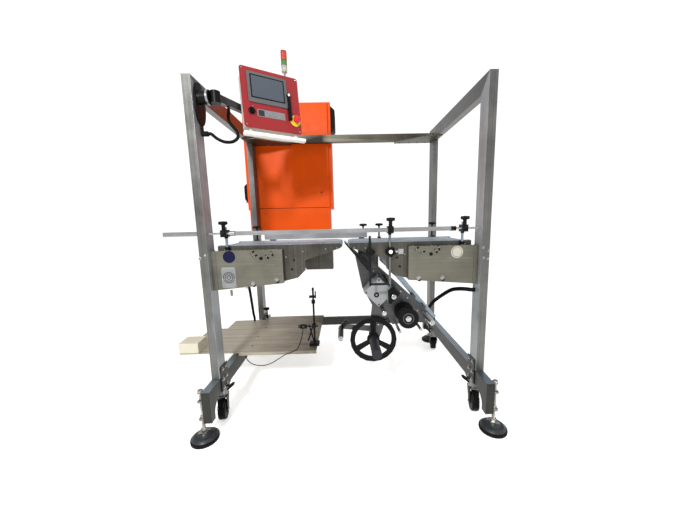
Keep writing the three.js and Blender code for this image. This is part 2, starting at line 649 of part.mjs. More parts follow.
function enclosure() {
  const halfW = PANEL_W / 2 - 8;
  const halfH = PANEL_H / 2 - 8;
  const shell = cut(
    block(-halfW, halfW, 4 + GAP, 62, -halfH, halfH - 22),
    block(-halfW + 4, halfW - 4, 0, 58, -halfH + 4, halfH - 26),
  );
  const lug = (x) => block(x - 8, x + 8, 12, 34, -PANEL_H / 2 - 26, -halfH + 2);
  return join(
    shell,
    block(-154, 176, 8, 34, -PANEL_H / 2 - 32, -PANEL_H / 2 - 16), lug(-120), lug(120),
    block(TILT.x - 30, TILT.x - 18, 60, TILT.y + 12, -14, 14),
    block(TILT.x + 18, TILT.x + 30, 60, TILT.y + 12, -14, 14),
    rodX(5, TILT.x - 26, TILT.x + 26, TILT.y, TILT.z, 12),
  );
}
add('panel_enclosure', enclosure(), GREY_BOX, panel);

function roundedRect(w, h, r) {
  const s = new THREE.Shape();
  s.moveTo(-w / 2 + r, -h / 2);
  s.lineTo(w / 2 - r, -h / 2);
  s.absarc(w / 2 - r, -h / 2 + r, r, -Math.PI / 2, 0, false);
  s.lineTo(w / 2, h / 2 - r);
  s.absarc(w / 2 - r, h / 2 - r, r, 0, Math.PI / 2, false);
  s.lineTo(-w / 2 + r, h / 2);
  s.absarc(-w / 2 + r, h / 2 - r, r, Math.PI / 2, Math.PI, false);
  s.lineTo(-w / 2, -h / 2 + r);
  s.absarc(-w / 2 + r, -h / 2 + r, r, Math.PI, 1.5 * Math.PI, false);
  return s;
}
const SELECTOR = { x: -109, z: -66 };
const ESTOP = { x: 121, z: -81 };
const SCREEN = { x0: -120, x1: 84, z0: -23, z1: 127 };
add('panel_plate', cut(
  join(
    slabY(roundedRect(PANEL_W, PANEL_H, 14), 0, 4),
    block(SCREEN.x0, SCREEN.x1, -6, 1, SCREEN.z0, SCREEN.z1),
  ),
  rodY(8, -10, 10, SELECTOR.x, SELECTOR.z, 14),
  rodY(11, -10, 10, ESTOP.x, ESTOP.z, 16),
), RED, panel);
add('mode_selector', join(
  rodY(14, -9, -GAP, SELECTOR.x, SELECTOR.z, 20), rodY(7.4, -1, 20, SELECTOR.x, SELECTOR.z, 14),
  block(SELECTOR.x - 4, SELECTOR.x + 4, -22, -8, SELECTOR.z - 13, SELECTOR.z + 13),
), BLACK, panel);
add('emergency_stop', join(
  rodY(20, -34, -20, ESTOP.x, ESTOP.z, 24), rodY(10.4, -21, 24, ESTOP.x, ESTOP.z, 16),
), RED, panel);

// ---------------------------------------------------------------- cabinet and stack light
function cabinetBody() {
  const shell = cut(
    block(CAB.x0, CAB.x1, CAB.y0, CAB.y1, CAB.z0, CAB.z1),
    block(CAB.x0 + WALL, CAB.x1 - WALL, CAB.y0 + WALL, CAB.y1 + 1, CAB.z0 + WALL, CAB.z1 - WALL),
  );
  const vent = (x0, x1, z0, z1) => slabY(outline([[x0, z0], [x1, z0 + 50], [x1, z1 - 30], [x0, z1]]), 945, 1100);
  const base = cut(
    block(CAB_BACK.x0, CAB_BACK.x1, CAB_BACK.y0, 1130, CAB_LOW_Z, CAB.z0 + 1),
    block(CAB_BACK.x0 + WALL, CAB_BACK.x1 - WALL, CAB_BACK.y0 + WALL, 1140, CAB_LOW_Z + WALL, CAB.z0 - WALL),
  );
  return join(
    shell, base,
    block(CAB_BACK.x0, CAB_BACK.x1, CAB_BACK.y0, CAB.y0 + 1, CAB.z0, CAB.z1 - 8),
    vent(CAB.x0 + 1, CAB.x0 - 29, 1196, 1372), vent(CAB.x1 - 1, CAB.x1 + 33, 1722, 1926),
    rodZ(24, CAB.z1 - 2, CAB.z1 + 14, -424, 960, 20),
  );
}
add('cabinet_body', cabinetBody(), ORANGE);

const DOOR_Y = CAB.y1 + GAP;
add('cabinet_door', join(
  block(CAB.x0, CAB.x1, DOOR_Y, DOOR_Y + DOOR_T, CAB.z0 + 4, CAB.z1 - 4),
  block(-136, -116, DOOR_Y + DOOR_T - 1, Y_MAX, 1480, 1600),
), ORANGE);

const STACK_Z = CAB.z1 + 14 + GAP;
add('stack_light', turned([[0, 0], [18, 0], [18, 6], [7, 8], [7, 206], [22, 209], [22.5, 354],
  [14, 362], [0, 362]], 20).translate(-424, 960, STACK_Z), GREY_BOX);

// ---------------------------------------------------------------- shelf, box and sensor
function shelfPlate() {
  const back = FRAME_D - 94;
  const top = SHELF_Z + SHELF_T;
  const sheet = slabZ(outline([
    [SHELF_X0, 240], [-190, 240], [-190, LOW_BEAM_Y0 + 38], [-INNER_X + 14, LOW_BEAM_Y0 + 38],
    [-INNER_X + 14, back], [-882, back], [-882, 644], [SHELF_X0 + 60, 644], [SHELF_X0, 584],
  ]), SHELF_Z, top);
  return join(
    sheet,
    block(-655, -190, 240, 243, SHELF_Z - 17, SHELF_Z + 1),
    block(-698, -672, 300, 780, BASE_TOP + GAP, SHELF_Z + 1),
    block(-600, -250, LOW_BEAM_Y0 + 6, LOW_BEAM_Y0 + 34, LOW_BEAM_TOP + GAP, SHELF_Z + 1),
    block(-238, -178, 300, 350, top - 1, top + 16),
    rodZ(6, top, 640, -206, 325, 12),
    rodX(5, -250, -180, 309, 420, 10), block(-218, -194, 302, 337, 410, 430),
    block(-290, -250, 300, 318, 408, 432),
  );
}
add('shelf_plate', shelfPlate(), SHEET);
add('junction_box', cut(
  block(BOX.x0, BOX.x1, BOX.y0, BOX.y1, SHELF_Z + SHELF_T + GAP, SHELF_Z + SHELF_T + GAP + BOX.h),
  rodX(7, BOX.x1 - 4, BOX.x1 + 5, 300, 320, 12),
), CREAM);

// ---------------------------------------------------------------- free conduits and cables
function hose(points, r, sides, steps) {
  const section = new THREE.Shape();
  for (let k = 0; k < sides; k += 1) {
    const a = (k * 2 * Math.PI) / sides;
    section[k ? 'lineTo' : 'moveTo'](r * Math.cos(a), r * Math.sin(a));
  }
  const path = new THREE.CatmullRomCurve3(points.map(([x, y, z]) => V(x, y, z)), false, 'centripetal');
  return new THREE.ExtrudeGeometry(section, { steps, bevelEnabled: false, extrudePath: path });
}

const PANEL_HOSE = [
  [-634, 62, 1480], [-622, 62, 1479.5], [-600, 72, 1461], [-571, 90, 1450], [-540, 110, 1456],
  [-519, 126, 1480], [-525, 137, 1508], [-546, 145, 1535], [-565, 150, 1562], [-569, 154, 1592],
  [-565, 155, 1612], [-565, 155, 1626],
];
const RIGHT_HOSE = [
  [664.2, 56, 690], [650, 57, 690], [634, 80, 688], [617, 130, 678], [600, 200, 655], [582, 300, 598],
  [564, 400, 530], [556, 480, 462], [566, 570, 394], [596, 650, 338], [640, 720, 316], [674, 768, 302],
  [686, 780, 286], [686, 780, 267.6],
];
const LEFT_HOSE = [
  [-646, 430, 827.2], [-646, 431, 812], [-648, 440, 770], [-652, 470, 700], [-658, 520, 620],
  [-672, 580, 535], [-690, 650, 440], [-708, 715, 368], [-722, 768, 332],
  [-728, 788, 312], [-728, 788, 294.8],
];
const SENSOR_CABLE = [
  [-270, 299.4, 420], [-270, 288, 419], [-271, 276, 406], [-277, 266, 372], [-288, 254, 336],
  [-304, 243, 306], [-334, 233, 292], [-376, 229, 277], [-420, 228, 250], [-462, 228, 226], [-505, 230, 213],
  [-548, 240, 210], [-588, 258, 213], [-620, 284, 222], [-640, 314, 231], [-652, 329.6, 234],
  [-663.4, 330, 234],
];
add('panel_hose', hose(PANEL_HOSE, 8, 8, 30), RUBBER);
add('conduit_right', hose(RIGHT_HOSE, 11, 8, 30), RUBBER);
add('conduit_left', hose(LEFT_HOSE, 9, 8, 30), RUBBER);
add('sensor_cable', hose(SENSOR_CABLE, 2.5, 8, 46), RUBBER);

const part = new THREE.Group();
part.add(machine);
export default part;
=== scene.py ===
"""Looks for the through-gap carton sealing labeller.

Every shape is written in the machine's own millimetres: X along the line from the frame's middle,
Y away from the operator from the front face of the front uprights, Z up from the floor.
world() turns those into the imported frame's metres.
"""
import json
import math

import bmesh
import bpy
from mathutils import Matrix, Vector

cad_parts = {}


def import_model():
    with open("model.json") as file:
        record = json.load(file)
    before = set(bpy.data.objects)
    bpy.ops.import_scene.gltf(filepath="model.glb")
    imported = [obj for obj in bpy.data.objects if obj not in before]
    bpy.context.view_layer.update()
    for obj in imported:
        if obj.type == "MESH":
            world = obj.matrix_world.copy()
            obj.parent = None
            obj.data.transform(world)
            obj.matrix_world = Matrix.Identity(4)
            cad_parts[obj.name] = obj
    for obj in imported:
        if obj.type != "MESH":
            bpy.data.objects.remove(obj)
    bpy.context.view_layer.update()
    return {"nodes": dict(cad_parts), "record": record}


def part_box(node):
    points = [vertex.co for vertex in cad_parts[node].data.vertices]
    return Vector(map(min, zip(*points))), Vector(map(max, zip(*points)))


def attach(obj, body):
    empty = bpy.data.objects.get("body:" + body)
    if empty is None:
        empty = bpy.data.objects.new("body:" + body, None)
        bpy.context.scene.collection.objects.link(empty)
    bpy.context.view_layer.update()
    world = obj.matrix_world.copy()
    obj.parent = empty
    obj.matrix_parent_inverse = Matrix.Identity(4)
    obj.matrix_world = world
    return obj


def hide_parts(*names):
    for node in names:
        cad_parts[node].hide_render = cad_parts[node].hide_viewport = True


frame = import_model()
NODES = frame["nodes"]
RECORD = frame["record"]
BODY_OF = {n: b for b, ns in RECORD["behaviour"]["bodies"].items() for n in ns}
SLOT_OF = {p["node"]: p["material_slot"] for p in RECORD["subparts"]}

# -------- the machine's millimetres
MM = 0.001
HALF_W = 705
INNER_X = 665
FRAME_D = 900
FRAME_H = 1715
TUBE = 80
BASE_TOP = 266
FRAME_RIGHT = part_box("upright_back_right")[1][0]
FRAME_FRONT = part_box("upright_front_right")[0][1]
ORIGIN = Vector((FRAME_RIGHT - HALF_W * MM, FRAME_FRONT, 0))
WORLD = Matrix.Translation(ORIGIN) @ Matrix.Scale(MM, 4)
MACHINE = WORLD.inverted()


def world(x, y, z):
    return WORLD @ Vector((x, y, z))


def extent(node):
    """A CAD node's box in machine millimetres."""
    low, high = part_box(node)
    return MACHINE @ Vector(low), MACHINE @ Vector(high)


# -------- camera
EYE = (-2.07, -1362.58, 1062.92)
YAW, PITCH, ROLL = 0.0162, 0.1495, -0.0228
SENSOR, FOCAL = 36, 14.536


def make_camera():
    """In front of the machine, a little above its belts, looking slightly down."""
    level = math.cos(PITCH)
    forward = Vector((math.sin(YAW) * level, math.cos(YAW) * level, -math.sin(PITCH)))
    right = Vector((math.cos(YAW), -math.sin(YAW), 0))
    up = right.cross(forward)
    x_axis = math.cos(ROLL) * right + math.sin(ROLL) * up
    y_axis = -math.sin(ROLL) * right + math.cos(ROLL) * up
    data = bpy.data.cameras.new("camera")
    data.sensor_width = SENSOR
    data.lens = FOCAL
    camera = bpy.data.objects.new("camera", data)
    turn = Matrix((x_axis, y_axis, -forward)).transposed().to_4x4()
    camera.matrix_world = Matrix.Translation(world(*EYE)) @ turn
    bpy.context.collection.objects.link(camera)
    bpy.context.scene.camera = camera


make_camera()


# -------- materials
M = {}


class Nodes:
    """A short way to write a material's node tree. M holds each material under its name."""

    def __init__(self, name):
        self.material = M[name] = bpy.data.materials.new(name)
        self.material.use_nodes = True
        self.tree = self.material.node_tree
        self.shader = self.tree.nodes["Principled BSDF"]
        self.place = self.add("ShaderNodeTexCoord").outputs["Object"]

    def add(self, kind, **settings):
        node = self.tree.nodes.new(kind)
        for key, value in settings.items():
            setattr(node, key, value)
        return node

    def link(self, source, target):
        self.tree.links.new(source, target)

    def stretched(self, scale):
        node = self.add("ShaderNodeMapping")
        node.inputs["Scale"].default_value = scale
        self.link(self.place, node.inputs["Vector"])
        return node.outputs["Vector"]

    def noise(self, scale, stretch=(1, 1, 1), detail=4, rough=0.6):
        node = self.add("ShaderNodeTexNoise")
        node.inputs["Scale"].default_value = scale
        node.inputs["Detail"].default_value = detail
        node.inputs["Roughness"].default_value = rough
        self.link(self.stretched(stretch), node.inputs["Vector"])
        return node.outputs["Fac"]

    def between(self, fac, low, high, start=0.3, end=0.7):
        node = self.add("ShaderNodeMapRange")
        for key, value in (("From Min", start), ("From Max", end), ("To Min", low), ("To Max", high)):
            node.inputs[key].default_value = value
        self.link(fac, node.inputs["Value"])
        return node.outputs["Result"]

    def put(self, value, socket):
        """A link, a colour or a number into a socket."""
        if isinstance(value, bpy.types.NodeSocket):
            self.link(value, socket)
        else:
            socket.default_value = (*value, 1) if isinstance(value, tuple) else value

    def mix(self, fac, a, b):
        node = self.add("ShaderNodeMix", data_type="RGBA")
        for index, value in ((0, fac), (6, a), (7, b)):
            self.put(value, node.inputs[index])
        return node.outputs[2]

    def bump(self, height, strength, distance=0.001, under=None):
        node = self.add("ShaderNodeBump")
        node.inputs["Strength"].default_value = strength
        node.inputs["Distance"].default_value = distance
        self.link(height, node.inputs["Height"])
        if under:
            self.link(under, node.inputs["Normal"])
        self.link(node.outputs["Normal"], self.shader.inputs["Normal"])
        return node.outputs["Normal"]

    def set(self, **values):
        for key, value in values.items():
            self.put(value, self.shader.inputs[key.replace("_", " ")])


def shade(colour, k):
    """The colour made lighter or darker by a factor."""
    return tuple(min(1, c * k) for c in colour)


def steel(name, colour, along="z", rough=(0.24, 0.42), contrast=0.3, scratch=0.5, streak=0.35,
          metallic=0.92):
    """Metal brushed or rolled along one axis, with handling marks and faint scratches."""
    n = Nodes(name)
    long, across = 1.2, 260
    stretch = tuple(long if axis == along else across for axis in "xyz")
    grain = n.noise(1, stretch, detail=3)
    marks = n.noise(5.5, detail=6, rough=0.62)
    blotch = n.mix(n.between(marks, 0, 1), shade(colour, 1 - contrast),
                   shade(colour, 1 + contrast * 0.7))
    fine = n.mix(n.between(grain, 0, 1, 0.35, 0.65), shade(colour, 1 - streak),
                 shade(colour, 1 + streak * 0.7))
    base = n.mix(0.45, blotch, fine)
    lines = n.noise(9, tuple(0.25 if s == long else 9 for s in stretch), detail=2)
    scored = n.between(lines, 0, scratch, 0.66, 0.7)
    n.set(Base_Color=n.mix(scored, base, shade(colour, 1.55)), Metallic=metallic)
    n.set(Roughness=n.between(marks, *rough))
    n.bump(grain, 0.10, 0.0004, n.bump(marks, 0.05, 0.002))


def paint(name, colour, rough=(0.35, 0.5), dirt=0.25, peel=420, peel_depth=0.06, metallic=0.0, coat=0.0,
          shine=0.4):
    """Sprayed or powder-coated paint: fine orange peel, faint dirt and a little fade."""
    n = Nodes(name)
    cloud = n.noise(3.5, detail=6, rough=0.65)
    grime = n.noise(24, detail=5, rough=0.7)
    faded = n.mix(n.between(cloud, 0, 1), shade(colour, 0.9), shade(colour, 1.06))
    n.set(Base_Color=n.mix(n.between(grime, 0, dirt, 0.56, 0.8), faded, shade(colour, 0.45)))
    n.set(Roughness=n.between(grime, *rough), Metallic=metallic, Coat_Weight=coat, Coat_Roughness=0.15)
    n.set(Specular_IOR_Level=shine)
    n.bump(n.noise(peel, detail=2), peel_depth, 0.0006)


def plastic(name, colour, rough=(0.4, 0.55), grain=900, depth=0.12):
    """Moulded plastic or rubber: fine spark texture, rubbed lighter and dusty in places."""
    n = Nodes(name)
    rub = n.noise(14, detail=6, rough=0.7)
    dusty = shade(tuple(c + 0.006 for c in colour), 1.5)
    worn = n.mix(n.between(rub, 0, 0.4, 0.52, 0.78), colour, dusty)
    n.set(Base_Color=worn, Roughness=n.between(rub, *rough), Specular_IOR_Level=0.1)
    n.bump(n.noise(grain, detail=2), depth, 0.0003)


def lens(name, colour, glow=0.0):
    """Ribbed, partly clear plastic of a signal light."""
    n = Nodes(name)
    rub = n.noise(30, detail=4)
    n.set(Base_Color=n.mix(n.between(rub, 0, 1), shade(colour, 0.85), shade(colour, 1.1)))
    n.set(Roughness=n.between(rub, 0.12, 0.25), Transmission_Weight=0.35, IOR=1.45)
    ribs = n.add("ShaderNodeTexWave", bands_direction="Z")
    ribs.inputs["Scale"].default_value = 110
    n.link(n.place, ribs.inputs["Vector"])
    n.bump(ribs.outputs["Fac"], 0.5, 0.0008)
    if glow:
        n.set(Emission_Color=colour, Emission_Strength=glow)


STAINLESS = (0.15, 0.15, 0.143)
ROLLED = (0.165, 0.158, 0.127)
SOOT = (0.004, 0.004, 0.0045)
steel("steel_y", STAINLESS, "y", contrast=0.5)
steel("steel_z", STAINLESS, "z", rough=(0.3, 0.46), contrast=0.5, metallic=0.8)
# A pale bluish copy of the post steel: a painted reflection for the front posts' inner faces.
steel("post_face_painted_sheen", (0.31, 0.325, 0.335), "z", rough=(0.4, 0.55), contrast=0.5, metallic=0.5)
steel("beam", (0.085, 0.078, 0.06), "x", rough=(0.35, 0.5), contrast=0.6)
# The darkest beam steel is painted shade: the base beams' inner and front faces and the back bottom
# beam.
steel("beam_painted_shade", (0.036, 0.036, 0.033), "y", rough=(0.35, 0.5), contrast=0.6)
steel("sheet", ROLLED, "x", rough=(0.34, 0.52), contrast=0.3, scratch=0.35, streak=0.14)
steel("sheet_dark", (0.085, 0.08, 0.068), "z", rough=(0.34, 0.5), contrast=0.7, streak=0.5)
steel("zinc", (0.2, 0.2, 0.193), "z", rough=(0.25, 0.45), contrast=0.45)
steel("dark_metal", (0.022, 0.022, 0.023), "x", rough=(0.3, 0.5), contrast=0.6)
steel("aluminium", (0.31, 0.315, 0.32), "x", rough=(0.28, 0.42), contrast=0.3, streak=0.25)
steel("alu_grey", (0.085, 0.086, 0.088), "x", rough=(0.3, 0.45), contrast=0.5, scratch=0.4)
# Bluish aluminium; on the base beams' tops it is a painted reflection.
steel("alu_blue_and_painted_sheen", (0.26, 0.315, 0.36), "x", rough=(0.25, 0.38), contrast=0.25, streak=0.2)
steel("chrome", (0.45, 0.45, 0.45), "y", rough=(0.08, 0.2), contrast=0.3, scratch=0.1)
steel("bolt", (0.36, 0.355, 0.33), "y", rough=(0.15, 0.3), contrast=0.4)
plastic("rubber", SOOT, rough=(0.5, 0.75))
plastic("tyre", SOOT, rough=(0.38, 0.6), grain=300)
plastic("black", SOOT, rough=(0.3, 0.5))
plastic("black_gloss", SOOT, rough=(0.12, 0.25), depth=0.03)
plastic("hub_grey", (0.025, 0.026, 0.03), rough=(0.35, 0.5))
plastic("cream", (0.60, 0.565, 0.45), rough=(0.4, 0.55), grain=500)
plastic("white_plastic", (0.78, 0.76, 0.72), rough=(0.3, 0.45), grain=500)
paint("orange", (0.66, 0.07, 0.001), rough=(0.34, 0.46), dirt=0.06, shine=0.1)
paint("red", (0.23, 0.010, 0.012), rough=(0.28, 0.42), dirt=0.5, coat=0.1)
paint("box_grey", (0.50, 0.475, 0.42), rough=(0.4, 0.55), dirt=0.12)
paint("foot_grey", (0.035, 0.039, 0.044), rough=(0.3, 0.5), dirt=0.6, metallic=0.4)
paint("button_red", (0.5, 0.012, 0.012), rough=(0.15, 0.25), dirt=0.1, coat=0.4)
paint("yellow", (0.62, 0.45, 0.03), rough=(0.3, 0.45), dirt=0.2)
paint("navy", (0.004, 0.004, 0.028), rough=(0.35, 0.45), dirt=0.05, shine=0.15)
paint("sticker_white", (0.40, 0.385, 0.33), rough=(0.3, 0.4), dirt=0.3)
paint("screen", (0.05, 0.062, 0.08), rough=(0.2, 0.3), dirt=0.15, peel_depth=0.01, coat=0.15)
paint("bezel", (0.085, 0.085, 0.088), rough=(0.4, 0.5), dirt=0.1)
paint("gearbox", (0.24, 0.25, 0.255), rough=(0.35, 0.5), dirt=0.3)
lens("clear_lens", (0.55, 0.52, 0.46))
lens("green_lens", (0.06, 0.25, 0.04), glow=0.05)
lens("red_lens", (0.55, 0.05, 0.012), glow=0.08)


def belt_material():
    """Woven belt, worn in streaks."""
    n = Nodes("belt")
    weave = n.add("ShaderNodeTexChecker")
    weave.inputs["Scale"].default_value = 900
    n.link(n.place, weave.inputs["Vector"])
    wear = n.noise(4, (1, 12, 1), detail=5)
    n.set(Base_Color=n.mix(n.between(wear, 0, 1), (0.17, 0.21, 0.25), (0.29, 0.34, 0.39)))
    n.set(Roughness=n.between(wear, 0.35, 0.55))
    n.bump(weave.outputs["Fac"], 0.12, 0.0003)


def thread_material():
    """Screw thread: ridges round an upright spindle."""
    n = Nodes("thread")
    turns = n.add("ShaderNodeTexWave", bands_direction="Z")
    turns.inputs["Scale"].default_value = 160
    n.link(n.place, turns.inputs["Vector"])
    stain_and_painted_shade = n.noise(18, detail=5)
    n.set(Base_Color=n.mix(n.between(stain_and_painted_shade, 0, 1), (0.34, 0.31, 0.27), (0.62, 0.60, 0.56)))
    n.set(Metallic=0.9, Roughness=n.between(stain_and_painted_shade, 0.28, 0.45))
    n.bump(turns.outputs["Fac"], 0.8, 0.0015)


def tray_material():
    """Rolled tray sheet, with painted shade that makes it darker towards its inner end."""
    n = Nodes("tray")
    streaks = n.noise(1, (1.6, 34, 34), detail=4)
    marks = n.noise(5, (0.6, 1.6, 1), detail=6, rough=0.65)
    split = n.add("ShaderNodeSeparateXYZ")
    n.link(n.place, split.inputs["Vector"])
    # Painted shadow: the sheet darkens from x -560 to -180, towards the machine's middle, broken up by
    # the marks.
    shadow = n.between(split.outputs["X"], 0, 1, world(-560, 0, 0).x, world(-180, 0, 0).x)
    stain_and_painted_shade = n.add("ShaderNodeMath", operation="MULTIPLY")
    n.link(shadow, stain_and_painted_shade.inputs[0])
    n.link(n.between(marks, 0.6, 1.25, 0.35, 0.65), stain_and_painted_shade.inputs[1])
    pale = n.mix(n.between(streaks, 0, 1), (0.33, 0.30, 0.23), (0.52, 0.47, 0.37))
    n.set(Base_Color=n.mix(stain_and_painted_shade.outputs["Value"], pale, (0.075, 0.062, 0.045)), Metallic=0.45)
    n.set(Roughness=n.between(marks, 0.42, 0.6))
    n.bump(streaks, 0.1, 0.0004)


tray_material()
belt_material()
thread_material()


# -------- mesh helpers, in machine millimetres
X, Y, Z = Vector((1, 0, 0)), Vector((0, 1, 0)), Vector((0, 0, 1))


SHARP = math.radians(38)


def square_to(axis):
    """Two directions square to axis, so that u x v = axis."""
    u = (X if abs(axis.x) < 0.9 else Y).cross(axis).normalized()
    return u, axis.cross(u)


def stack_faces(rings, n):
    """The two ends and the sides of a stack of rings of n points."""
    sides = [(i * n + k, i * n + (k + 1) % n, (i + 1) * n + (k + 1) % n, (i + 1) * n + k)
             for i in range(rings - 1) for k in range(n)]
    return [tuple(range(n)), tuple(range((rings - 1) * n, rings * n)), *sides]


class Shape:
    """Closed shells gathered into one piece, each with its own material."""

    def __init__(self, place=None):
        self.bm = bmesh.new()
        self.place = place or Matrix.Identity(4)
        self.names = []

    def index(self, material):
        if material not in self.names:
            self.names.append(material)
        return self.names.index(material)

    def shell(self, points, faces, material):
        verts = [self.bm.verts.new(self.place @ Vector(p)) for p in points]
        which = self.index(material)
        for face in faces:
            made = self.bm.faces.new([verts[i] for i in face])
            made.material_index = which
        return self

    def prism(self, outline, low, high, axis="y", material="sheet"):
        """An outline, counter-clockwise or not, pushed along an axis."""
        n, slot = len(outline), "xyz".index(axis)
        points = [(*p[:slot], depth, *p[slot:]) for depth in (low, high) for p in outline]
        sides = [(i, (i + 1) % n, (i + 1) % n + n, i + n) for i in range(n)]
        return self.shell(points, [tuple(range(n)), tuple(range(n, 2 * n)), *sides], material)

    def block(self, low, high, material="sheet"):
        (x0, y0, z0), (x1, y1, z1) = low, high
        return self.prism([(x0, z0), (x1, z0), (x1, z1), (x0, z1)], y0, y1, "y", material)

    def turned(self, at, axis, profile, material="bolt", n=28, lobes=0):
        """(radius, height, lobe depth) rings round an axis, closed at both ends."""
        axis = Vector(axis).normalized()
        u, v = square_to(axis)
        at = Vector(at)
        points = []
        for ring in profile:
            r, h, deep = (*ring, 0)[:3]
            for k in range(n):
                a = 2 * math.pi * k / n
                grown = r * (1 + deep * math.cos(lobes * a))
                points.append(at + axis * h + u * grown * math.cos(a) + v * grown * math.sin(a))
        return self.shell(points, stack_faces(len(profile), n), material)

    def rod(self, a, b, r, material="chrome", n=24, soft=0.8):
        """A round bar from a to b with softened ends."""
        a, b = Vector(a), Vector(b)
        run = (b - a).length
        soft = min(soft, r * 0.4, run * 0.3)
        profile = [(r - soft, 0), (r, soft), (r, run - soft), (r - soft, run)]
        return self.turned(a, b - a, profile, material, n)

    def tube(self, a, b, r, bore, material="zinc", n=28):
        """A bored round bar from a to b."""
        a, b = Vector(a), Vector(b)
        run = (b - a).length
        axis = (b - a).normalized()
        u, v = square_to(axis)
        rings = [(r - 0.6, 0), (r, 0.6), (r, run - 0.6), (r - 0.6, run), (bore, run), (bore, 0)]
        points = [a + axis * h + (u * math.cos(t) + v * math.sin(t)) * radius
                  for radius, h in rings for t in [2 * math.pi * k / n for k in range(n)]]
        m = len(rings)
        faces = [(i * n + k, i * n + (k + 1) % n, (i + 1) % m * n + (k + 1) % n, (i + 1) % m * n + k)
                 for i in range(m) for k in range(n)]
        return self.shell(points, faces, material)

    def sweep(self, path, radius, material="rubber", n=12):
        """A round section along a path; radius is a number or a function of the distance run."""
        path = [Vector(p) for p in path]
        u = square_to((path[1] - path[0]).normalized())[0]
        points, run = [], 0
        for i, p in enumerate(path):
            run += (p - path[i - 1]).length if i else 0
            along = (path[min(i + 1, len(path) - 1)] - path[max(i - 1, 0)]).normalized()
            u = (u - along * u.dot(along)).normalized()
            v = along.cross(u)
            r = radius(run) if callable(radius) else radius
            points += [p + (u * math.cos(a) + v * math.sin(a)) * r
                       for a in [2 * math.pi * k / n for k in range(n)]]
        return self.shell(points, stack_faces(len(path), n), material)

    def hex_bolt(self, at, axis, r=8, material="bolt"):
        """Washer, hexagon head and its turned face."""
        at, axis = Vector(at), Vector(axis)
        self.turned(at, axis, [(r * 1.35, 0), (r * 1.35, r * 0.2)], material, 24)
        self.turned(at, axis, [(r, r * 0.2), (r, r * 0.75), (r * 0.84, r * 0.9)], material, 6)
        return self

    def cap_screw(self, at, axis, r=6, material="bolt"):
        """Round head with a socket in it."""
        profile = [(r * 0.9, 0), (r, r * 0.15), (r, r * 0.6), (r * 0.86, r * 0.8),
                   (r * 0.45, r * 0.8), (r * 0.42, r * 0.35)]
        return self.turned(at, axis, profile, material, 20)

    def piece(self, name, body, slot, bevel=0.0, segments=2, replaces=()):
        """The finished object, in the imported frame, riding its body."""
        bmesh.ops.recalc_face_normals(self.bm, faces=self.bm.faces)
        self.bm.transform(WORLD)
        mesh = bpy.data.meshes.new(name)
        self.bm.to_mesh(mesh)
        self.bm.free()
        return finish_object(name, mesh, self.names, body, slot, bevel, segments, replaces)


def finish_object(name, mesh, names, body, slot, bevel, segments, replaces):
    """Materials, smooth shading, broken edges and the body the piece rides."""
    obj = bpy.data.objects.new(name, mesh)
    bpy.context.collection.objects.link(obj)
    for material in names:
        mesh.materials.append(M[material])
    mesh.shade_smooth()
    mesh.set_sharp_from_angle(angle=SHARP)
    if bevel:
        edge = obj.modifiers.new("edges", "BEVEL")
        edge.width = bevel * MM
        edge.segments = segments
        edge.limit_method = "ANGLE"
        edge.angle_limit = SHARP
        edge.harden_normals = True
    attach(obj, body)
    if replaces:
        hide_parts(*replaces)
    return obj


def refine(node, material, pick=None, bevel=0.8, segments=2):
    """A CAD node with its faces merged, its edges broken and a material on each region.

    pick takes a face's centre and normal in millimetres and names its material, or returns None.
    """
    source = NODES[node]
    bm = bmesh.new()
    bm.from_mesh(source.data)
    bm.transform(MACHINE @ source.matrix_world)
    bmesh.ops.remove_doubles(bm, verts=bm.verts, dist=0.02)
    bmesh.ops.dissolve_limit(bm, angle_limit=math.radians(1), verts=bm.verts, edges=bm.edges)
    names = [material]
    for face in bm.faces:
        chosen = pick(face.calc_center_median(), face.normal) if pick else None
        if chosen and chosen not in names:
            names.append(chosen)
        face.material_index = names.index(chosen or material)
    bm.transform(WORLD)
    mesh = bpy.data.meshes.new(node + "_skin")
    bm.to_mesh(mesh)
    bm.free()
    return finish_object(node + "_skin", mesh, names, BODY_OF[node], SLOT_OF[node], bevel, segments,
                         [node])


def smooth_path(route, per_span=10):
    """Centripetal Catmull-Rom points through a listed route."""
    pts = [Vector(p) for p in route]
    pts = [pts[0] * 2 - pts[1], *pts, pts[-1] * 2 - pts[-2]]
    path = []
    for i in range(1, len(pts) - 2):
        p0, p1, p2, p3 = pts[i - 1:i + 3]
        t = [0]
        for a, b in ((p0, p1), (p1, p2), (p2, p3)):
            t.append(t[-1] + math.sqrt((b - a).length))
        for k in range(per_span):
            s = t[1] + (t[2] - t[1]) * k / per_span
            a1 = p0.lerp(p1, (s - t[0]) / (t[1] - t[0]))
            a2 = p1.lerp(p2, (s - t[1]) / (t[2] - t[1]))
            a3 = p2.lerp(p3, (s - t[2]) / (t[3] - t[2]))
            b1 = a1.lerp(a2, (s - t[0]) / (t[2] - t[0]))
            b2 = a2.lerp(a3, (s - t[1]) / (t[3] - t[1]))
            path.append(b1.lerp(b2, (s - t[1]) / (t[2] - t[1])))
    return [*path, pts[-2]]


def length_of(path):
    return sum((b - a).length for a, b in zip(path, path[1:]))


def even(path, step):
    """The path again, with a point every step millimetres."""
    total = length_of(path)
    count = max(2, round(total / step))
    points, run, i = [path[0]], 0, 0
    for k in range(1, count):
        want = total * k / count
        while run + (path[i + 1] - path[i]).length < want:
            run += (path[i + 1] - path[i]).length
            i += 1
        points.append(path[i].lerp(path[i + 1], (want - run) / (path[i + 1] - path[i]).length))
    return [*points, path[-1]]


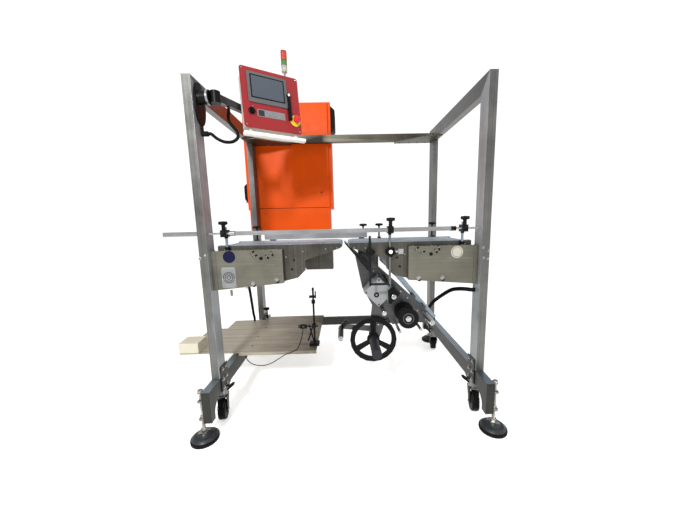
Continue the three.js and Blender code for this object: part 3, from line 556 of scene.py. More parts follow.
# -------- free hoses and cables
PANEL_HOSE = [
    (-634, 62, 1480), (-622, 62, 1479.5), (-600, 72, 1461), (-571, 90, 1450), (-540, 110, 1456),
    (-519, 126, 1480), (-525, 137, 1508), (-546, 145, 1535), (-565, 150, 1562), (-569, 154, 1592),
    (-565, 155, 1612), (-565, 155, 1626),
]
RIGHT_HOSE = [
    (664.2, 56, 690), (650, 57, 690), (634, 80, 688), (617, 130, 678), (600, 200, 655),
    (582, 300, 598), (564, 400, 530), (556, 480, 462), (566, 570, 394), (596, 650, 338),
    (640, 720, 316), (674, 768, 302), (686, 780, 286), (686, 780, 267.6),
]
LEFT_HOSE = [
    (-646, 430, 827.2), (-646, 431, 812), (-648, 440, 770), (-652, 470, 700), (-658, 520, 620),
    (-672, 580, 535), (-690, 650, 440), (-708, 715, 368), (-722, 768, 332), (-728, 788, 312),
    (-728, 788, 294.8),
]
SENSOR_CABLE = [
    (-270, 299.4, 420), (-270, 288, 419), (-271, 276, 406), (-277, 266, 372), (-288, 254, 336),
    (-304, 243, 306), (-334, 233, 292), (-376, 229, 277), (-420, 228, 250), (-462, 228, 226),
    (-505, 230, 213), (-548, 240, 210), (-588, 258, 213), (-620, 284, 222), (-640, 314, 231),
    (-652, 329.6, 234), (-663.4, 330, 234),
]


def corrugated(name, node, route, radius, pitch=4.2):
    """Flexible conduit: rings every few millimetres along the route."""
    path = even(smooth_path(route), pitch / 4)
    shape = Shape()
    shape.sweep(path, lambda run: radius - 0.55 + 0.5 * math.cos(2 * math.pi * run / pitch),
                "rubber", 16)
    obj = shape.piece(name, "frame", SLOT_OF[node], replaces=[node])
    declare(path)


def declare(path):
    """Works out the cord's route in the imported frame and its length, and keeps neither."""
    points = [tuple(WORLD @ p) for p in path]
    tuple(points[0])
    length_of(path) * MM


corrugated("panel_hose_skin", "panel_hose", PANEL_HOSE, 8)
corrugated("conduit_right_skin", "conduit_right", RIGHT_HOSE, 11)
corrugated("conduit_left_skin", "conduit_left", LEFT_HOSE, 9)
LEAD_R = 2.5
lead_path = smooth_path(SENSOR_CABLE)
lead = Shape().sweep(lead_path, LEAD_R, "rubber", 12).piece(
    "sensor_lead", "frame", "rubber", replaces=["sensor_cable"])
declare(lead_path)


# -------- frame
def upright_pick(c, n):
    """Guide bar outside the left post, pipe outside the right one, and painted reflection: pale inner
    faces in front.
    """
    if c.x < -HALF_W - 4:
        return "aluminium"
    # Painted reflection: the front posts' inner faces take the pale steel.
    if abs(abs(c.x) - INNER_X) < 0.1 and c.y < 90:
        return "post_face_painted_sheen"
    return "rubber" if c.x > HALF_W + 2 else None


def base_pick(c, n):
    if abs(c.x) > HALF_W + 0.5:
        return "zinc"
    # Painted reflection: the base beams' top faces between the posts take the pale bluish aluminium.
    if n.z > 0.5 and 90 < c.y < 810:
        return "alu_blue_and_painted_sheen"
    # Painted shade: the base beams' inner and front faces take the darkest steel.
    return "beam_painted_shade" if n.x * c.x < -0.5 * abs(c.x) or n.y < -0.5 else None


for node in NODES:
    if node.startswith("upright"):
        refine(node, "steel_z", upright_pick, bevel=1.6, segments=3)
    elif node.startswith("top_rail"):
        refine(node, "steel_y", bevel=1.6, segments=3)
    elif node.startswith("base_beam"):
        refine(node, "steel_y", base_pick, bevel=1.2)
refine("back_top_beam", "beam", bevel=1.2)
# The back bottom beam, low under the shelf, is given the painted-shade steel.
refine("back_bottom_beam", "beam_painted_shade", bevel=1.2)


def frame_details():
    """Bolts of the base joints and the top gussets, screws on the base's outer faces."""
    s = Shape()
    for side in (-1, 1):
        inner = side * (INNER_X - 5.3)
        for y in (30, 70, FRAME_D - 30, FRAME_D - 70):
            for z in (BASE_TOP - 62, BASE_TOP - 16, BASE_TOP + 40):
                s.hex_bolt((inner, y, z), (-side, 0, 0), 7)
        for x in (620, 560, 500, 430):
            s.hex_bolt((side * x, 878, 1629.5), (0, 0, -1), 5)
        for y in (725, 775):
            s.hex_bolt((side * 685, y, 1629.5), (0, 0, -1), 5)
        outer = side * (HALF_W + 0.1)
        for y, z in ((20, 226), (60, 226), (FRAME_D - 20, 226), (FRAME_D - 60, 226)):
            s.cap_screw((outer, y, z), (side, 0, 0), 6)
    return s.piece("frame_bolts", "frame", "stainless")


frame_details()


def weld_bead(a, b):
    """A ground weld: a low, slightly wavy ridge."""
    a, b = Vector(a), Vector(b)
    count = max(6, int((b - a).length / 2.5))
    path = [a.lerp(b, k / count) for k in range(count + 1)]
    return Shape().sweep(path, lambda run: 0.9 + 0.25 * math.sin(run * 1.7), "zinc", 8)


def welds():
    """The mitres of the top rails, on their inner and outer faces."""
    for side, label in ((-1, "left"), (1, "right")):
        for end, y0, y1 in (("front", 0, TUBE), ("back", FRAME_D, FRAME_D - TUBE)):
            for face, x in (("inner", side * INNER_X), ("outer", side * HALF_W)):
                bead = weld_bead((x, y0, FRAME_H), (x, y1, FRAME_H - TUBE))
                bead.piece(f"mitre_weld_{end}_{label}_{face}", "frame", "stainless")


welds()


# -------- casters and feet
CASTER_X, CASTER_Y, TRAIL, TURN = 697, 67, 28, math.radians(10)
WHEEL_R, HALF_WHEEL = 51, 20
FOOT_X, FOOT_Y = 721, -88


def corner_name(end, side):
    return f"{'front' if end > 0 else 'back'}_{'left' if side < 0 else 'right'}"


def caster(end, side):
    """Wheel, axle bolts, brake pedals and plate bolts of one swivel caster."""
    corner = corner_name(end, side)
    y = CASTER_Y + TRAIL
    angle = -side * TURN + (0 if end > 0 else math.pi)
    stem = Matrix.Translation((side * CASTER_X, y if end > 0 else FRAME_D - y, 0))
    place = stem @ Matrix.Rotation(angle, 4, "Z")
    refine(f"caster_fork_{corner}", "zinc", lambda c, n: "black" if c.z < 118 else None, bevel=1.5)
    wheel = Shape(place)
    start = (-HALF_WHEEL, -TRAIL, WHEEL_R)
    tyre = [(38, 1.5), (41, 0.6), (46, 0.8), (49, 2.6), (50.6, 7), (51, 12), (51, 28), (50.6, 33),
            (49, 37.4), (46, 39.2), (41, 39.4), (38, 38.5)]
    wheel.turned(start, X, tyre, "tyre", 56)
    hub = [(12, 0.2), (17, 0.6), (19, 4.5), (33, 7), (38.2, 4), (38.2, 36), (33, 33), (19, 35.5),
           (17, 39.4), (12, 39.8)]
    wheel.turned(start, X, hub, "hub_grey", 56)
    wheel.piece(f"wheel_{corner}_skin", f"wheel_{corner}", "rubber",
                replaces=[f"caster_wheel_{corner}"])
    extras = Shape(place)
    for way in (-1, 1):
        extras.hex_bolt((way * 25.6, -TRAIL, WHEEL_R), (way, 0, 0), 7)
    near = -TRAIL
    extras.prism([(near - 24, 113), (near - 52, 101), (near - 56, 95), (near - 30, 101),
                  (near + 2, 109), (near + 2, 116)], -15, 15, "x", "black")
    inner = -side * end
    extras.prism([(inner * 22, 148), (inner * 30, 150), (inner * 62, 176), (inner * 60, 183),
                  (inner * 50, 181), (inner * 20, 160)], -12, 12, "y", "black")
    extras.turned((0, 0, 165), Z, [(30, 0), (32, 2), (32, 9), (30, 12)], "zinc", 40)
    for x in (-26, 26):
        for dy in (-30, 30):
            extras.hex_bolt((x, dy, 177.8), -Z, 5)
    extras.piece(f"brake_pedal_{corner}", f"caster_{corner}", "dark_steel", bevel=1.2)


def foot(end, side):
    """Rubber pad, dished foot, threaded spindle and lock nut."""
    corner = corner_name(end, side)
    place = Matrix.Translation((side * FOOT_X, FOOT_Y if end > 0 else FRAME_D - FOOT_Y, 0))
    s = Shape(place)
    s.turned((0, 0, 0.2), Z, [(62, 0), (65, 1), (66, 5), (66, 14), (64.5, 17), (60, 18)], "rubber", 56)
    dish = [(61, 0), (60.5, 2), (57, 6), (51, 10), (48.5, 12.4), (44, 13), (38, 13.4), (33, 16),
            (28, 19.2), (24, 23), (20.5, 28), (14, 32)]
    s.turned((0, 0, 17), Z, dish, "foot_grey", 56)
    s.block((-21, -21, 49.2), (21, 21, 52.2), "bolt")
    s.turned((0, 0, 52), Z, [(13, 0), (13, 8), (11.5, 10)], "bolt", 6)
    s.turned((0, 0, 50), Z, [(7.9, 0), (7.9, 202)], "thread", 20)
    s.turned((0, 0, 251), Z, [(13.8, 0), (13.8, 2.5)], "bolt", 24)
    s.turned((0, 0, 253), Z, [(13, 0), (13.6, 1), (13.6, 12), (11, 14.6)], "bolt", 6)
    s.piece(f"foot_{corner}_skin", f"foot_{corner}", "foot_metal",
            replaces=[f"levelling_foot_{corner}"])
    nut = Shape(place)
    nut.tube((0, 0, 124.2), (0, 0, 134), 12.6, 8.4, "bolt", n=6)
    nut.piece(f"foot_lock_nut_{corner}", "frame", "stainless")


for end in (1, -1):
    for side in (-1, 1):
        caster(end, side)
        foot(end, side)


# -------- conveyors
def conveyor_pick(c, n):
    if c.z > 937 and abs(c.x) > 20 and (c.y < 73 or c.y > 335) and c.y < 351:
        return "alu_blue_and_painted_sheen"
    if c.y < 58 and c.z > 880:
        return "chrome"
    if c.y > 350 and c.z > 940:
        return "black"
    return None


for side_name, side in (("left", -1), ("right", 1)):
    refine(f"conveyor_frame_{side_name}", "sheet_dark", conveyor_pick)
    refine(f"conveyor_cover_{side_name}", "sheet", bevel=0.9)
    refine(f"belt_{side_name}", "belt", bevel=0.4)
    refine(f"drive_roller_{side_name}", "chrome", bevel=0.6)


COVER_Y, COVER_TOP = 28, 927
COVER_FACE = COVER_Y - 0.1
ARCS = {
    -1: [(-459, 933), (-447, 898), (-388, 891), (-363, 906)],
    1: [(354, 918), (385, 897), (450, 900), (464, 920)],
}


def cover_details(side):
    """Adjusting slots in an arc drawn as dark discs of painted shade, screws, bosses and the round and
    square plates on a cover, with a painted shadow down and right of each low bolt.
    """
    label = "left" if side < 0 else "right"
    face = COVER_FACE
    s = Shape()
    for x, z in ARCS[side]:
        z = min(z, 915)
        lean = math.atan2(915 - z, (x - side * 415) or 1) * 0.6
        reach = Vector((math.cos(lean + 1.9), 0, math.sin(lean + 1.9))) * 9
        centre = Vector((x, face + 0.5, z))
        # The slot is drawn as overlapping dark discs on the face: painted shade for the opening.
        for k in (-1, -0.5, 0, 0.5, 1):
            s.turned(centre + reach * k, -Y, [(4.5, 0), (4.5, 0.7)], "dark_metal", 16)
        s.cap_screw(centre + reach * 0.5, -Y, 4.6, "bolt")
    middle = (-418, 885) if side < 0 else (425, 886)
    s.turned((middle[0], face, middle[1]), -Y, [(8.5, 0), (8.5, 3), (6, 5)], "black", 24)
    low = [(-465, 752), (-347, 769)] if side < 0 else [(364, 759), (484, 757)]
    for x, z in low:
        s.hex_bolt((x, face, z + 8), -Y, 8)
        # A dark disc set down and right of the bolt: the bolt's painted shadow.
        s.turned((x + 4, face, z - 2), -Y, [(9, 0), (9, 1.2)], "dark_metal", 24)
    if side < 0:
        s.cap_screw((-498, face, 742), -Y, 7)
    tabs = [(-701, 894), (-676, 908)] if side < 0 else [(697, 859), (699, 900), (675, 865), (672, 915)]
    for x, z in tabs:
        s.hex_bolt((x, -0.1, z), -Y, 5.5)
    for k in range(3):
        s.cap_screw((side * (340 + 90 * k), 45, COVER_TOP), Z, 4)
    s.piece(f"cover_screws_{label}", "frame", "dark_steel")
    seam = side * 640
    strip = Shape()
    strip.block((seam - 0.7, face - 0.3, 735), (seam + 0.7, face + 0.6, COVER_TOP - 1), "sheet_dark")
    strip.piece(f"cover_seam_{label}", "frame", "sheet_steel")


def position_discs():
    """Round blank stickers, one on each cover; the right one has a ring."""
    disc = [(29.5, 0), (30, 0.4), (30, 0.9)]
    for label, x, z, colour in (("left", -574, 896, "navy"), ("right", 555, 893, "sticker_white")):
        s = Shape()
        s.turned((x, COVER_FACE, z), -Y, disc, colour, 48)
        if label == "right":
            s.tube((x, COVER_Y - 0.8, z), (x, COVER_Y - 1.4, z), 25, 23.4, "alu_grey", 48)
        s.piece(f"position_disc_{label}", "frame", "sheet_steel")


for side in (-1, 1):
    cover_details(side)
position_discs()


def rounded(x0, x1, z0, z1, r, n=6):
    """The outline of a rectangle with round corners."""
    corners = [(x1 - r, z0 + r, -90), (x1 - r, z1 - r, 0), (x0 + r, z1 - r, 90), (x0 + r, z0 + r, 180)]
    turns = [(cx, cz, math.radians(a + 90 * k / n)) for cx, cz, a in corners for k in range(n + 1)]
    return [(cx + r * math.cos(t), cz + r * math.sin(t)) for cx, cz, t in turns]


def data_plate():
    """A blank plate on the left cover with three plain rings."""
    s = Shape()
    s.prism(rounded(-618, -548, 741, 845, 9), COVER_Y - 1.6, COVER_FACE, "y", "aluminium")
    for x in (-611, -555):
        for z in (749, 837):
            s.cap_screw((x, COVER_Y - 1.5, z), -Y, 2.6)
    for r in (28, 20, 11):
        s.tube((-583, COVER_Y - 1.5, 793), (-583, COVER_Y - 2.2, 793), r, r - 3, "dark_metal", 40)
    s.piece("data_plate", "frame", "aluminium", bevel=0.3)


data_plate()


def nose_details(side):
    """Side plate fasteners near the nose and under the bed."""
    label = "left" if side < 0 else "right"
    s = Shape()
    for x, z, r in ((44, 925, 4), (100, 921, 4), (215, 912, 4), (262, 868, 5), (300, 885, 4),
                    (275, 822, 6)):
        s.cap_screw((side * x, 58, z), -Y, r, "dark_metal" if r > 4 else "bolt")
    if side < 0:
        s.rod((-589, 58, 692), (-589, 58, 722), 6, "zinc")
    s.piece(f"side_plate_screws_{label}", "frame", "dark_steel")


for side in (-1, 1):
    nose_details(side)


# -------- product guides
CLAMPS = {"left": -586, "centre": 222, "right": 586}
RAIL_Y, RAIL_Z, POST_Y = 22, 1011, 46


def guide_pick(c, n):
    if abs(c.z - RAIL_Z) > 10.6 or c.y > 31 or any(abs(c.x - x) < 15 for x in CLAMPS.values()):
        return "black"
    coupling = -560 < c.x < -545.2 or 528.2 < c.x < 544
    if (coupling or abs(c.z - RAIL_Z) > 10.4) and abs(c.y - RAIL_Y) < 13:
        return "black"
    if abs(c.x) > 545:
        return "chrome"
    return None


refine("guide_rail_front", "aluminium", guide_pick, bevel=1.2)
refine("guide_rail_rear", "aluminium", lambda c, n: "chrome" if c.y > 342 else None, bevel=0.8)


def star_knob(name, at, axis, body, node, r, h, centre="black"):
    """Five-lobed clamping knob on its stem, with a capped hub."""
    s = Shape()
    grip = [(r * 0.42, 0), (r * 0.4, h * 0.5), (r * 0.5, h * 0.58), (r * 0.86, h * 0.62, 0.11),
            (r * 0.9, h * 0.7, 0.11), (r * 0.9, h * 0.88, 0.11), (r * 0.82, h * 0.97, 0.1),
            (r * 0.5, h * 0.98)]
    s.turned(at, axis, grip, "black", 60, lobes=5)
    s.turned(at, axis, [(r * 0.36, h * 0.9), (r * 0.36, h * 0.99), (r * 0.28, h)], centre, 28)
    s.piece(name, body, SLOT_OF[node], replaces=[node])


for label, x in CLAMPS.items():
    star_knob(f"guide_knob_{label}_skin", (x, RAIL_Y, RAIL_Z + 17.3), (0, 0, 1), f"guide_knob_{label}",
              f"guide_knob_{label}", 22, 42)


def guide_details():
    """Clamp screws and collars on the front guide and its posts."""
    s = Shape()
    for x in CLAMPS.values():
        s.hex_bolt((x, RAIL_Y - 12, RAIL_Z + 6), -Y, 5, "dark_metal")
        s.tube((x, POST_Y, RAIL_Z - 25), (x, POST_Y, RAIL_Z - 17.2), 9, 6.6, "black")
    s.piece("guide_clamp_collars", "front_guide", "black_plastic")
    s = Shape()
    for x in (-586, 586):
        s.rod((x, POST_Y, 1040.2), (x, POST_Y, 1042), 5.5, "black")
        s.tube((x, POST_Y, 930), (x, POST_Y, 944), 12, 6.2, "black")
        s.hex_bolt((x, POST_Y - 12, 937), -Y, 6, "black")
    s.piece("guide_post_collars", "frame", "black_plastic", bevel=0.5)


guide_details()


def rear_clamps():
    """T knobs behind the belts: one on the rear rail's block, three on brackets off the side plates."""
    on_block, on_brackets = 111, (-535, 208, 534)
    knob = [(5, 0), (5, 64), (8, 68), (21, 71, 0.12), (22, 80, 0.12), (15, 84)]
    s = Shape()
    for x in (on_block, *on_brackets):
        s.turned((x, 376, 955), Z, knob, "black", 45, lobes=5)
    for x in on_brackets:
        s.block((x - 9, 350.3, 930), (x + 9, 388, 958), "black")
        s.cap_screw((x, 388, 944), Y, 4.5)
    s.piece("rear_clamp_knobs", "frame", "black_plastic", bevel=0.6)


rear_clamps()


# -------- label head
HEAD_Y = 256
HEAD_POST = (222, 46)
REWIND_X, REWIND_Z = 336, 520


def head_pick(c, n):
    if c.y > 299.5:
        return "alu_blue_and_painted_sheen"
    if c.y < 60:
        return "zinc" if c.x > 200 and c.z > 745 else "dark_metal"
    if c.y < HEAD_Y - 1:
        return "dark_metal" if c.z > 700 else "chrome"
    return None


refine("head_plate", "alu_grey", head_pick, bevel=0.7)
refine("peel_plate", "dark_metal", lambda c, n: "aluminium" if n.z > 0.3 and n.x > 0 else None,
       bevel=0.4)
refine("drive_unit", "gearbox", lambda c, n: "black" if c.y < 150 or c.x > 240 else None, bevel=1.5)
refine("feed_roller", "chrome", bevel=0.8)
refine("guide_roller", "chrome", bevel=0.8)
refine("dancer_arm", "chrome", lambda c, n: "dark_metal" if c.y > 130 else None, bevel=0.8)
refine("supply_reel", "black", lambda c, n: "hub_grey" if c.y < 231 else None, bevel=1.6, segments=3)
refine("rewind_reel", "black", lambda c, n: "zinc" if 120.5 < c.y < 239.5 else None, bevel=1.0)
star_knob("head_clamp_knob_skin", (222, 39.7, 903), -Y, "head_clamp_knob", "head_clamp_knob", 27, 26,
          "white_plastic")


def roller_end(s, x, y, z, r):
    """A turned end with its screw and a dark centre."""
    cup = [(r, -0.5), (r, 1), (r * 0.8, 2.5), (r * 0.55, 2.5), (r * 0.5, 1)]
    s.turned((x, y, z), -Y, cup, "chrome", 32)
    s.hex_bolt((x, y - 1, z), -Y, r * 0.38)


def head_details():
    """Pin ends, plate screws, post clamps, the rewind hub and the gear box face."""
    s = Shape()
    for x, z, r in ((286, 452, 8), (400, 462, 8), (462, 500, 15)):
        roller_end(s, x, 99.5, z, r)
    for x, z in ((120, 800), (160, 765), (205, 720), (320, 640), (360, 600), (420, 520), (470, 462),
                 (380, 480)):
        s.cap_screw((x, HEAD_Y - 0.1, z), -Y, 5)
    for x, z in ((178, 355), (150, 410), (185, 440)):
        s.cap_screw((x, HEAD_Y - 0.1, z), -Y, 6)
    s.rod((*HEAD_POST, 1040.1), (*HEAD_POST, 1041.5), 5.4, "black")
    s.piece("head_fasteners", "label_head", "chrome")
    s = Shape()
    s.block((200, 30, 894), (244, 62, 912), "black")
    s.block((104, 34, 892), (146, 58, 910), "black")
    s.block((264, 40, 888), (290, 64, 914), "chrome")
    s.rod((244, 48, 901), (264, 48, 901), 6, "chrome")
    knob = [(7, 0), (7, 8), (17, 10, 0.12), (17, 18, 0.12), (12, 20)]
    s.turned((122, 33.8, 901), -Y, knob, "black", 45, lobes=5)
    s.piece("post_clamps", "label_head", "black_plastic", bevel=1.0)
    s = Shape()
    hub = [(16, 0), (16, 3), (12, 5), (6, 5), (5, 3)]
    s.turned((REWIND_X, 115.8, REWIND_Z), -Y, hub, "chrome", 40)
    s.tube((REWIND_X, 115.8, REWIND_Z), (REWIND_X, 114.6, REWIND_Z), 31, 26, "alu_grey", 48)
    s.piece("rewind_hub", "rewind_reel", "chrome")
    s = Shape()
    s.turned((165, 151.8, 650), -Y, [(14, 0), (14, 2), (11.5, 2.6), (11, 1.2), (4, 1.2)], "black", 40)
    s.hex_bolt((165, 150.6, 650), -Y, 4)
    for dx, dz in ((0, 70), (0, -70), (70, 0), (-70, 0)):
        s.cap_screw((178 + dx, 152, 664 + dz), -Y, 4.5, "dark_metal")
    s.piece("gearbox_details", "label_head", "black_plastic")


head_details()


def rotating_ends():
    """The ends that turn with the feed roller and the dancer arm."""
    for name, body, x, y, z, r in (("feed_roller_end", "feed_roller", 253, 99.8, 650, 13),
                                   ("dancer_end", "dancer_arm", -38, 77.8, 432, 15)):
        s = Shape()
        roller_end(s, x, y, z, r)
        s.piece(name, body, "chrome")


rotating_ends()


# -------- operator panel
PANEL_W, PANEL_H = 304, 300
SELECTOR, STOP = (-109, 0, -66), (121, 0, -81)
PANEL = (Matrix.Translation((-363, 224, 1681)) @ Matrix.Rotation(math.radians(31.6), 4, "Z")
         @ Matrix.Rotation(math.radians(-6.8), 4, "X"))

refine("panel_mount", "black", lambda c, n: "chrome" if -622 < c.x < -606 and c.z > 1600 else None,
       bevel=1.5)
refine("panel_arm", "alu_grey", lambda c, n: "black" if c.y < 76 else None, bevel=2.0, segments=3)
refine("panel_link", "dark_metal", bevel=1.0)
Shape().tube((-618, 50, 1635), (-608, 50, 1635), 32.6, 31.8, "aluminium", 48).piece(
    "panel_mount_ring", "frame", "black_plastic")


def enclosure_pick(c, n):
    local = PANEL.inverted() @ c
    if local.z < -PANEL_H / 2 - 8:
        return "white_plastic"
    if local.y > 61.9:
        return "zinc"
    return None


refine("panel_enclosure", "box_grey", enclosure_pick, bevel=3.0, segments=3)


def panel_face():
    """The red face and all that is fitted to it, in the tilted panel's own axes."""
    s = Shape(PANEL)
    s.prism(rounded(-PANEL_W / 2, PANEL_W / 2, -PANEL_H / 2, PANEL_H / 2, 14), 0, 4, "y", "red")
    for x in (-140, 140):
        for z in (-136, 138):
            s.cap_screw((x, 0, z), -Y, 4)
    s.piece("panel_face", "panel", "red_face", bevel=0.8, replaces=["panel_plate"])
    s = Shape(PANEL)
    x0, x1, z0, z1 = -120, 84, -23, 127
    s.prism(rounded(x0, x1, z0, z1, 8), -6, -0.2, "y", "bezel")
    s.prism(rounded(x0 + 14, x1 - 14, z0 + 22, z1 - 12, 2), -6.9, -6.0, "y", "black_gloss")
    s.prism(rounded(x0 + 20, x1 - 20, z0 + 28, z1 - 18, 1), -7.4, -6.9, "y", "screen")
    s.piece("screen_unit", "panel", "black_plastic", bevel=0.6)
    s = Shape(PANEL)
    s.prism(rounded(-82, 64, -88, -52, 3), -1.6, -0.1, "y", "aluminium")
    s.prism(rounded(-76, -46, -85, -56, 1), -2.1, -1.6, "y", "hub_grey")
    s.piece("blank_plate", "panel", "aluminium", bevel=0.3)
    s = Shape(PANEL)
    s.turned(SELECTOR, -Y, [(17, 0), (17, 4), (15, 5.5)], "black_gloss", 40)
    s.turned(STOP, -Y, [(29, 0), (29.5, 1), (29, 2.5), (24, 3)], "yellow", 48)
    s.block((82, -14, -84), (98, -0.2, 42), "black")
    s.turned((90, -0.2, 44), -Y, [(11, 0), (11, 14), (8, 17)], "black", 32)
    s.hex_bolt((90, -16.5, 44), -Y, 5, "white_plastic")
    s.piece("panel_fittings", "panel", "black_plastic", bevel=1.0)
    s = Shape(PANEL)
    s.turned((-109, -5.5, -66), -Y, [(13.5, 0), (13.5, 5), (12, 7)], "black", 40)
    s.block((-113, -22, -79), (-105, -10, -53), "black")
    s.block((-110, -22.4, -56), (-108, -21.8, -53), "white_plastic")
    s.piece("selector_skin", "mode_selector", "black_plastic", bevel=1.0, replaces=["mode_selector"])
    s = Shape(PANEL)
    mushroom = [(10, -20), (10, 14), (13, 19), (19, 21), (20, 24), (20, 29), (18, 32.5), (12, 33.8)]
    s.turned(STOP, -Y, mushroom, "button_red", 48)
    s.piece("emergency_stop_skin", "emergency_stop", "red_button", replaces=["emergency_stop"])
    s = Shape(PANEL)
    s.prism(rounded(-154, 176, -180, -166.5, 4), 4, 8, "y", "white_plastic")
    s.piece("panel_rim", "panel", "light_grey_box", bevel=0.8)


panel_face()


# -------- cabinet, stack light
CAB_X0, CAB_X1, CAB_Y0, CAB_Y1, CAB_Z0, CAB_Z1 = -757, -90, 925, 1180, 1155, 1944


def cabinet_pick(c, n):
    if c.x < CAB_X0 - 0.5 or c.x > CAB_X1 + 0.5 or c.z > CAB_Z1 + 0.5:
        return "black"
    return None


refine("cabinet_body", "orange", cabinet_pick, bevel=1.5, segments=3)
refine("cabinet_door", "orange", lambda c, n: "black" if c.y > CAB_Y1 + 22.6 else None, bevel=2.0,
       segments=3)


def cabinet_details():
    """Louvres, seam, screws, hinge pins, the stack light's foot and the door's latch and vents."""
    s = Shape()
    s.turned((-175, 904.9, 1280), -Y, [(6, 0), (6, 0.3)], "black", 24)
    s.block((-735, 904.3, 1163.5), (-118, 904.9, 1167), "black")
    for x in (-700, -620):
        for z in (1000, 1120):
            s.cap_screw((x, 905, z), -Y, 5)
    for count, start, x0, x1 in ((9, 1220, CAB_X0 - 30.2, CAB_X0 - 28.5),
                                 (10, 1750, CAB_X1 + 32.2, CAB_X1 + 33.4)):
        for z in range(start, start + 15 * count, 15):
            s.block((x0, 960, z), (x1, 1085, z + 5), "hub_grey")
    s.turned((-424, 960, CAB_Z1), Z, [(34, 0), (34, 5), (28, 9)], "black", 40)
    for z in (1240, 1860):
        s.rod((CAB_X0 - 5, 1186, z - 30), (CAB_X0 - 5, 1186, z + 30), 5, "zinc")
    s.piece("cabinet_fittings", "frame", "black_plastic", bevel=0.4)
    s = Shape()
    door = CAB_Y1 + 22.3
    s.turned((-126, door, 1400), Y, [(17, 0), (17, 4), (12, 6), (6, 6)], "zinc", 32)
    for k in range(8):
        z = 1820 + 9 * k
        s.block((-560, door - 0.2, z), (-290, door + 1.5, z + 4), "orange")
    s.piece("door_fittings", "cabinet_door", "orange_paint", bevel=0.4)


cabinet_details()


def stack_light():
    """Pole with a clear, a green and a red lens, from the bottom up."""
    x, y, z = -424, 960, CAB_Z1 + 14.3
    s = Shape()
    s.turned((x, y, z), Z, [(17.6, 0), (17.6, 5), (8, 8)], "black", 40)
    s.rod((x, y, z + 6), (x, y, z + 209), 6.9, "chrome")
    s.turned((x, y, z + 207), Z, [(14, 0), (21.2, 4), (21.6, 48), (20.5, 50)], "clear_lens", 48)
    s.turned((x, y, z + 258), Z, [(20.5, 0), (22, 1.5), (22, 30), (20.5, 32)], "green_lens", 48)
    s.turned((x, y, z + 291), Z, [(20.5, 0), (22.2, 1.5), (22.2, 60), (20.5, 62)], "red_lens", 48)
    s.turned((x, y, z + 353), Z, [(22, 0), (21, 3), (14, 7), (5, 8.6)], "hub_grey", 48)
    for h in (256.8, 289.8):
        s.turned((x, y, z + h), Z, [(20.2, 0), (20.2, 1.4)], "black", 40)
    s.piece("stack_light_skin", "frame", "signal_lenses", replaces=["stack_light"])


stack_light()


# -------- shelf, junction box, sensor
SHELF_TOP = 293.3


# The shelf's sheet carries painted shade towards its inner end.
refine("shelf_plate", "tray", lambda c, n: "black" if c.z > SHELF_TOP + 0.5 else None, bevel=0.6)
refine("junction_box", "cream", bevel=3.0, segments=3)


def shelf_details():
    """Holes and screws of the shelf, the junction box's lid and the sensor stand's clamps."""
    s = Shape()
    # The holes are flat dark discs on the shelf: painted shade for the openings.
    for x, y in ((-600, 640), (-610, 480), (-600, 330), (-420, 800), (-300, 560)):
        s.turned((x, y, SHELF_TOP), Z, [(6, 0), (6, 0.3)], "dark_metal", 20)
    s.hex_bolt((-640, 800, SHELF_TOP), Z, 6)
    knob = [(9, 0), (9, 20), (5.5, 22), (5.5, 60), (9, 66), (20, 70, 0.12), (20, 82, 0.12), (14, 86)]
    s.turned((-645, 851, SHELF_TOP + 0.2), Z, knob, "black", 45, lobes=5)
    s.piece("shelf_fasteners", "frame", "dark_steel")
    s = Shape()
    low, high = extent("junction_box")
    s.block((low.x + 1, low.y + 1, high.z - 16), (high.x - 1, high.y - 1, high.z - 14.6), "sheet_dark")
    for x in (low.x + 11, high.x - 11):
        for y in (low.y + 11, high.y - 11):
            s.cap_screw((x, y, high.z - 0.4), Z, 4, "white_plastic")
    s.piece("junction_box_fittings", "frame", "cream_box")
    s = Shape()
    s.tube((-206, 325, 560), (-206, 325, 582), 12, 6.1, "black")
    s.block((-228, 305, 600), (-186, 317, 614), "black")
    s.rod((-190, 311, 596), (-190, 311, 640), 4, "black")
    s.turned((-206, 325, 640), Z, [(7, 0), (7, 14), (4, 20)], "black", 24)
    s.rod((-206, 318, 440), (-244, 300, 330), 4.5, "black")
    s.rod((-236, 309, 430), (-214, 330, 320), 4, "black")
    s.rod((-291, 309, 420), (-302, 309, 420), 9, "black_gloss")
    s.turned((-270, 300.2, 420), -Y, [(6, -4), (6, 0.3)], "zinc", 24)
    s.piece("sensor_stand_clamps", "frame", "black_plastic", bevel=0.8)


shelf_details()


# -------- floor and light
FLOOR_REACH, FLOOR_GLOW = 30, 0.5
DIFFUSE_FILL, OTHER_FILL = 0.55, 1.1
PATCHES = ((0.0, 0.14), (0.42, 0.2), (0.5, 0.55), (0.6, 0.95), (0.7, 1.0), (1.0, 1.0))


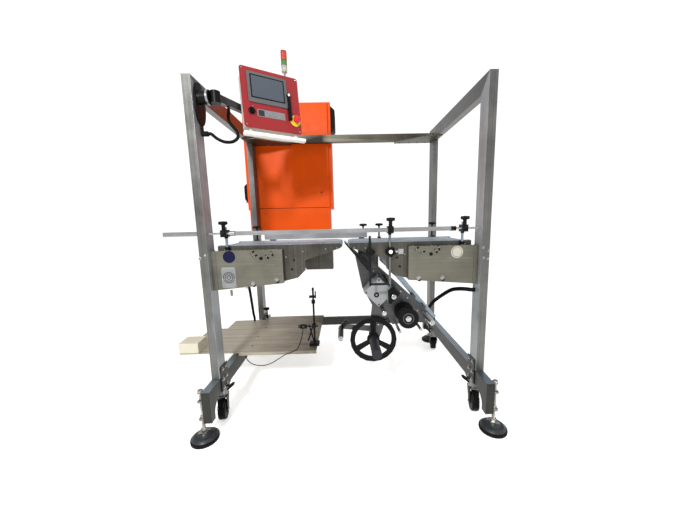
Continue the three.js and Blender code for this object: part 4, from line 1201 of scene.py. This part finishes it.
def stage():
    """A pale floor in a white room. Camera and diffuse rays see plain white, others see patches."""
    mesh = bpy.data.meshes.new("floor")
    corners = [(x * FLOOR_REACH, y * FLOOR_REACH, 0) for x, y in ((-1, -1), (1, -1), (1, 1), (-1, 1))]
    mesh.from_pydata(corners, [], [(0, 1, 2, 3)])
    floor = bpy.data.objects.new("floor", mesh)
    bpy.context.collection.objects.link(floor)
    n = Nodes("floor")
    n.set(Base_Color=(0.92, 0.92, 0.91), Roughness=0.9)
    n.set(Specular_IOR_Level=0.0, Emission_Color=(1.0, 1.0, 1.0), Emission_Strength=FLOOR_GLOW)
    mesh.materials.append(n.material)

    sky = bpy.data.worlds.new("studio")
    bpy.context.scene.world = sky
    sky.use_nodes = True
    tree = sky.node_tree
    back = tree.nodes["Background"]
    coord = tree.nodes.new("ShaderNodeTexCoord")
    patches = tree.nodes.new("ShaderNodeTexNoise")
    patches.inputs["Scale"].default_value = 2.6
    patches.inputs["Detail"].default_value = 2
    ramp = tree.nodes.new("ShaderNodeValToRGB")
    line = ramp.color_ramp
    while len(line.elements) < len(PATCHES):
        line.elements.new(0.5)
    for element, (at, level) in zip(line.elements, PATCHES):
        element.position = at
        element.color = (level, level, level * 1.02, 1)
    path = tree.nodes.new("ShaderNodeLightPath")
    plain = tree.nodes.new("ShaderNodeMath")
    plain.operation = "MAXIMUM"
    seen = tree.nodes.new("ShaderNodeMix")
    seen.data_type = "RGBA"
    seen.inputs[7].default_value = (1, 1, 1, 1)
    fill = tree.nodes.new("ShaderNodeMapRange")
    fill.inputs["To Min"].default_value = OTHER_FILL
    fill.inputs["To Max"].default_value = DIFFUSE_FILL
    tree.links.new(coord.outputs["Generated"], patches.inputs["Vector"])
    tree.links.new(patches.outputs["Fac"], ramp.inputs["Fac"])
    tree.links.new(ramp.outputs["Color"], seen.inputs[6])
    tree.links.new(path.outputs["Is Camera Ray"], plain.inputs[0])
    tree.links.new(path.outputs["Is Diffuse Ray"], plain.inputs[1])
    tree.links.new(plain.outputs["Value"], seen.inputs[0])
    tree.links.new(seen.outputs[2], back.inputs["Color"])
    tree.links.new(path.outputs["Is Diffuse Ray"], fill.inputs["Value"])
    tree.links.new(fill.outputs["Result"], back.inputs["Strength"])


def area_light(name, at, towards, size, watts):
    data = bpy.data.lights.new(name, "AREA")
    data.shape = "RECTANGLE"
    data.size, data.size_y = size
    data.energy = watts
    lamp = bpy.data.objects.new(name, data)
    lamp.location = at
    lamp.rotation_euler = (Vector(towards) - Vector(at)).to_track_quat("-Z", "Y").to_euler()
    bpy.context.collection.objects.link(lamp)


stage()
area_light("key", world(-850, -2500, 2500), world(-200, 500, 1100), (0.3, 0.3), 95)
area_light("top", world(0, 300, 4200), world(0, 400, 0), (4, 4), 40)
area_light("side", world(3200, -600, 1800), world(0, 300, 900), (2, 2.5), 15)
bpy.context.scene.view_settings.view_transform = "Standard"
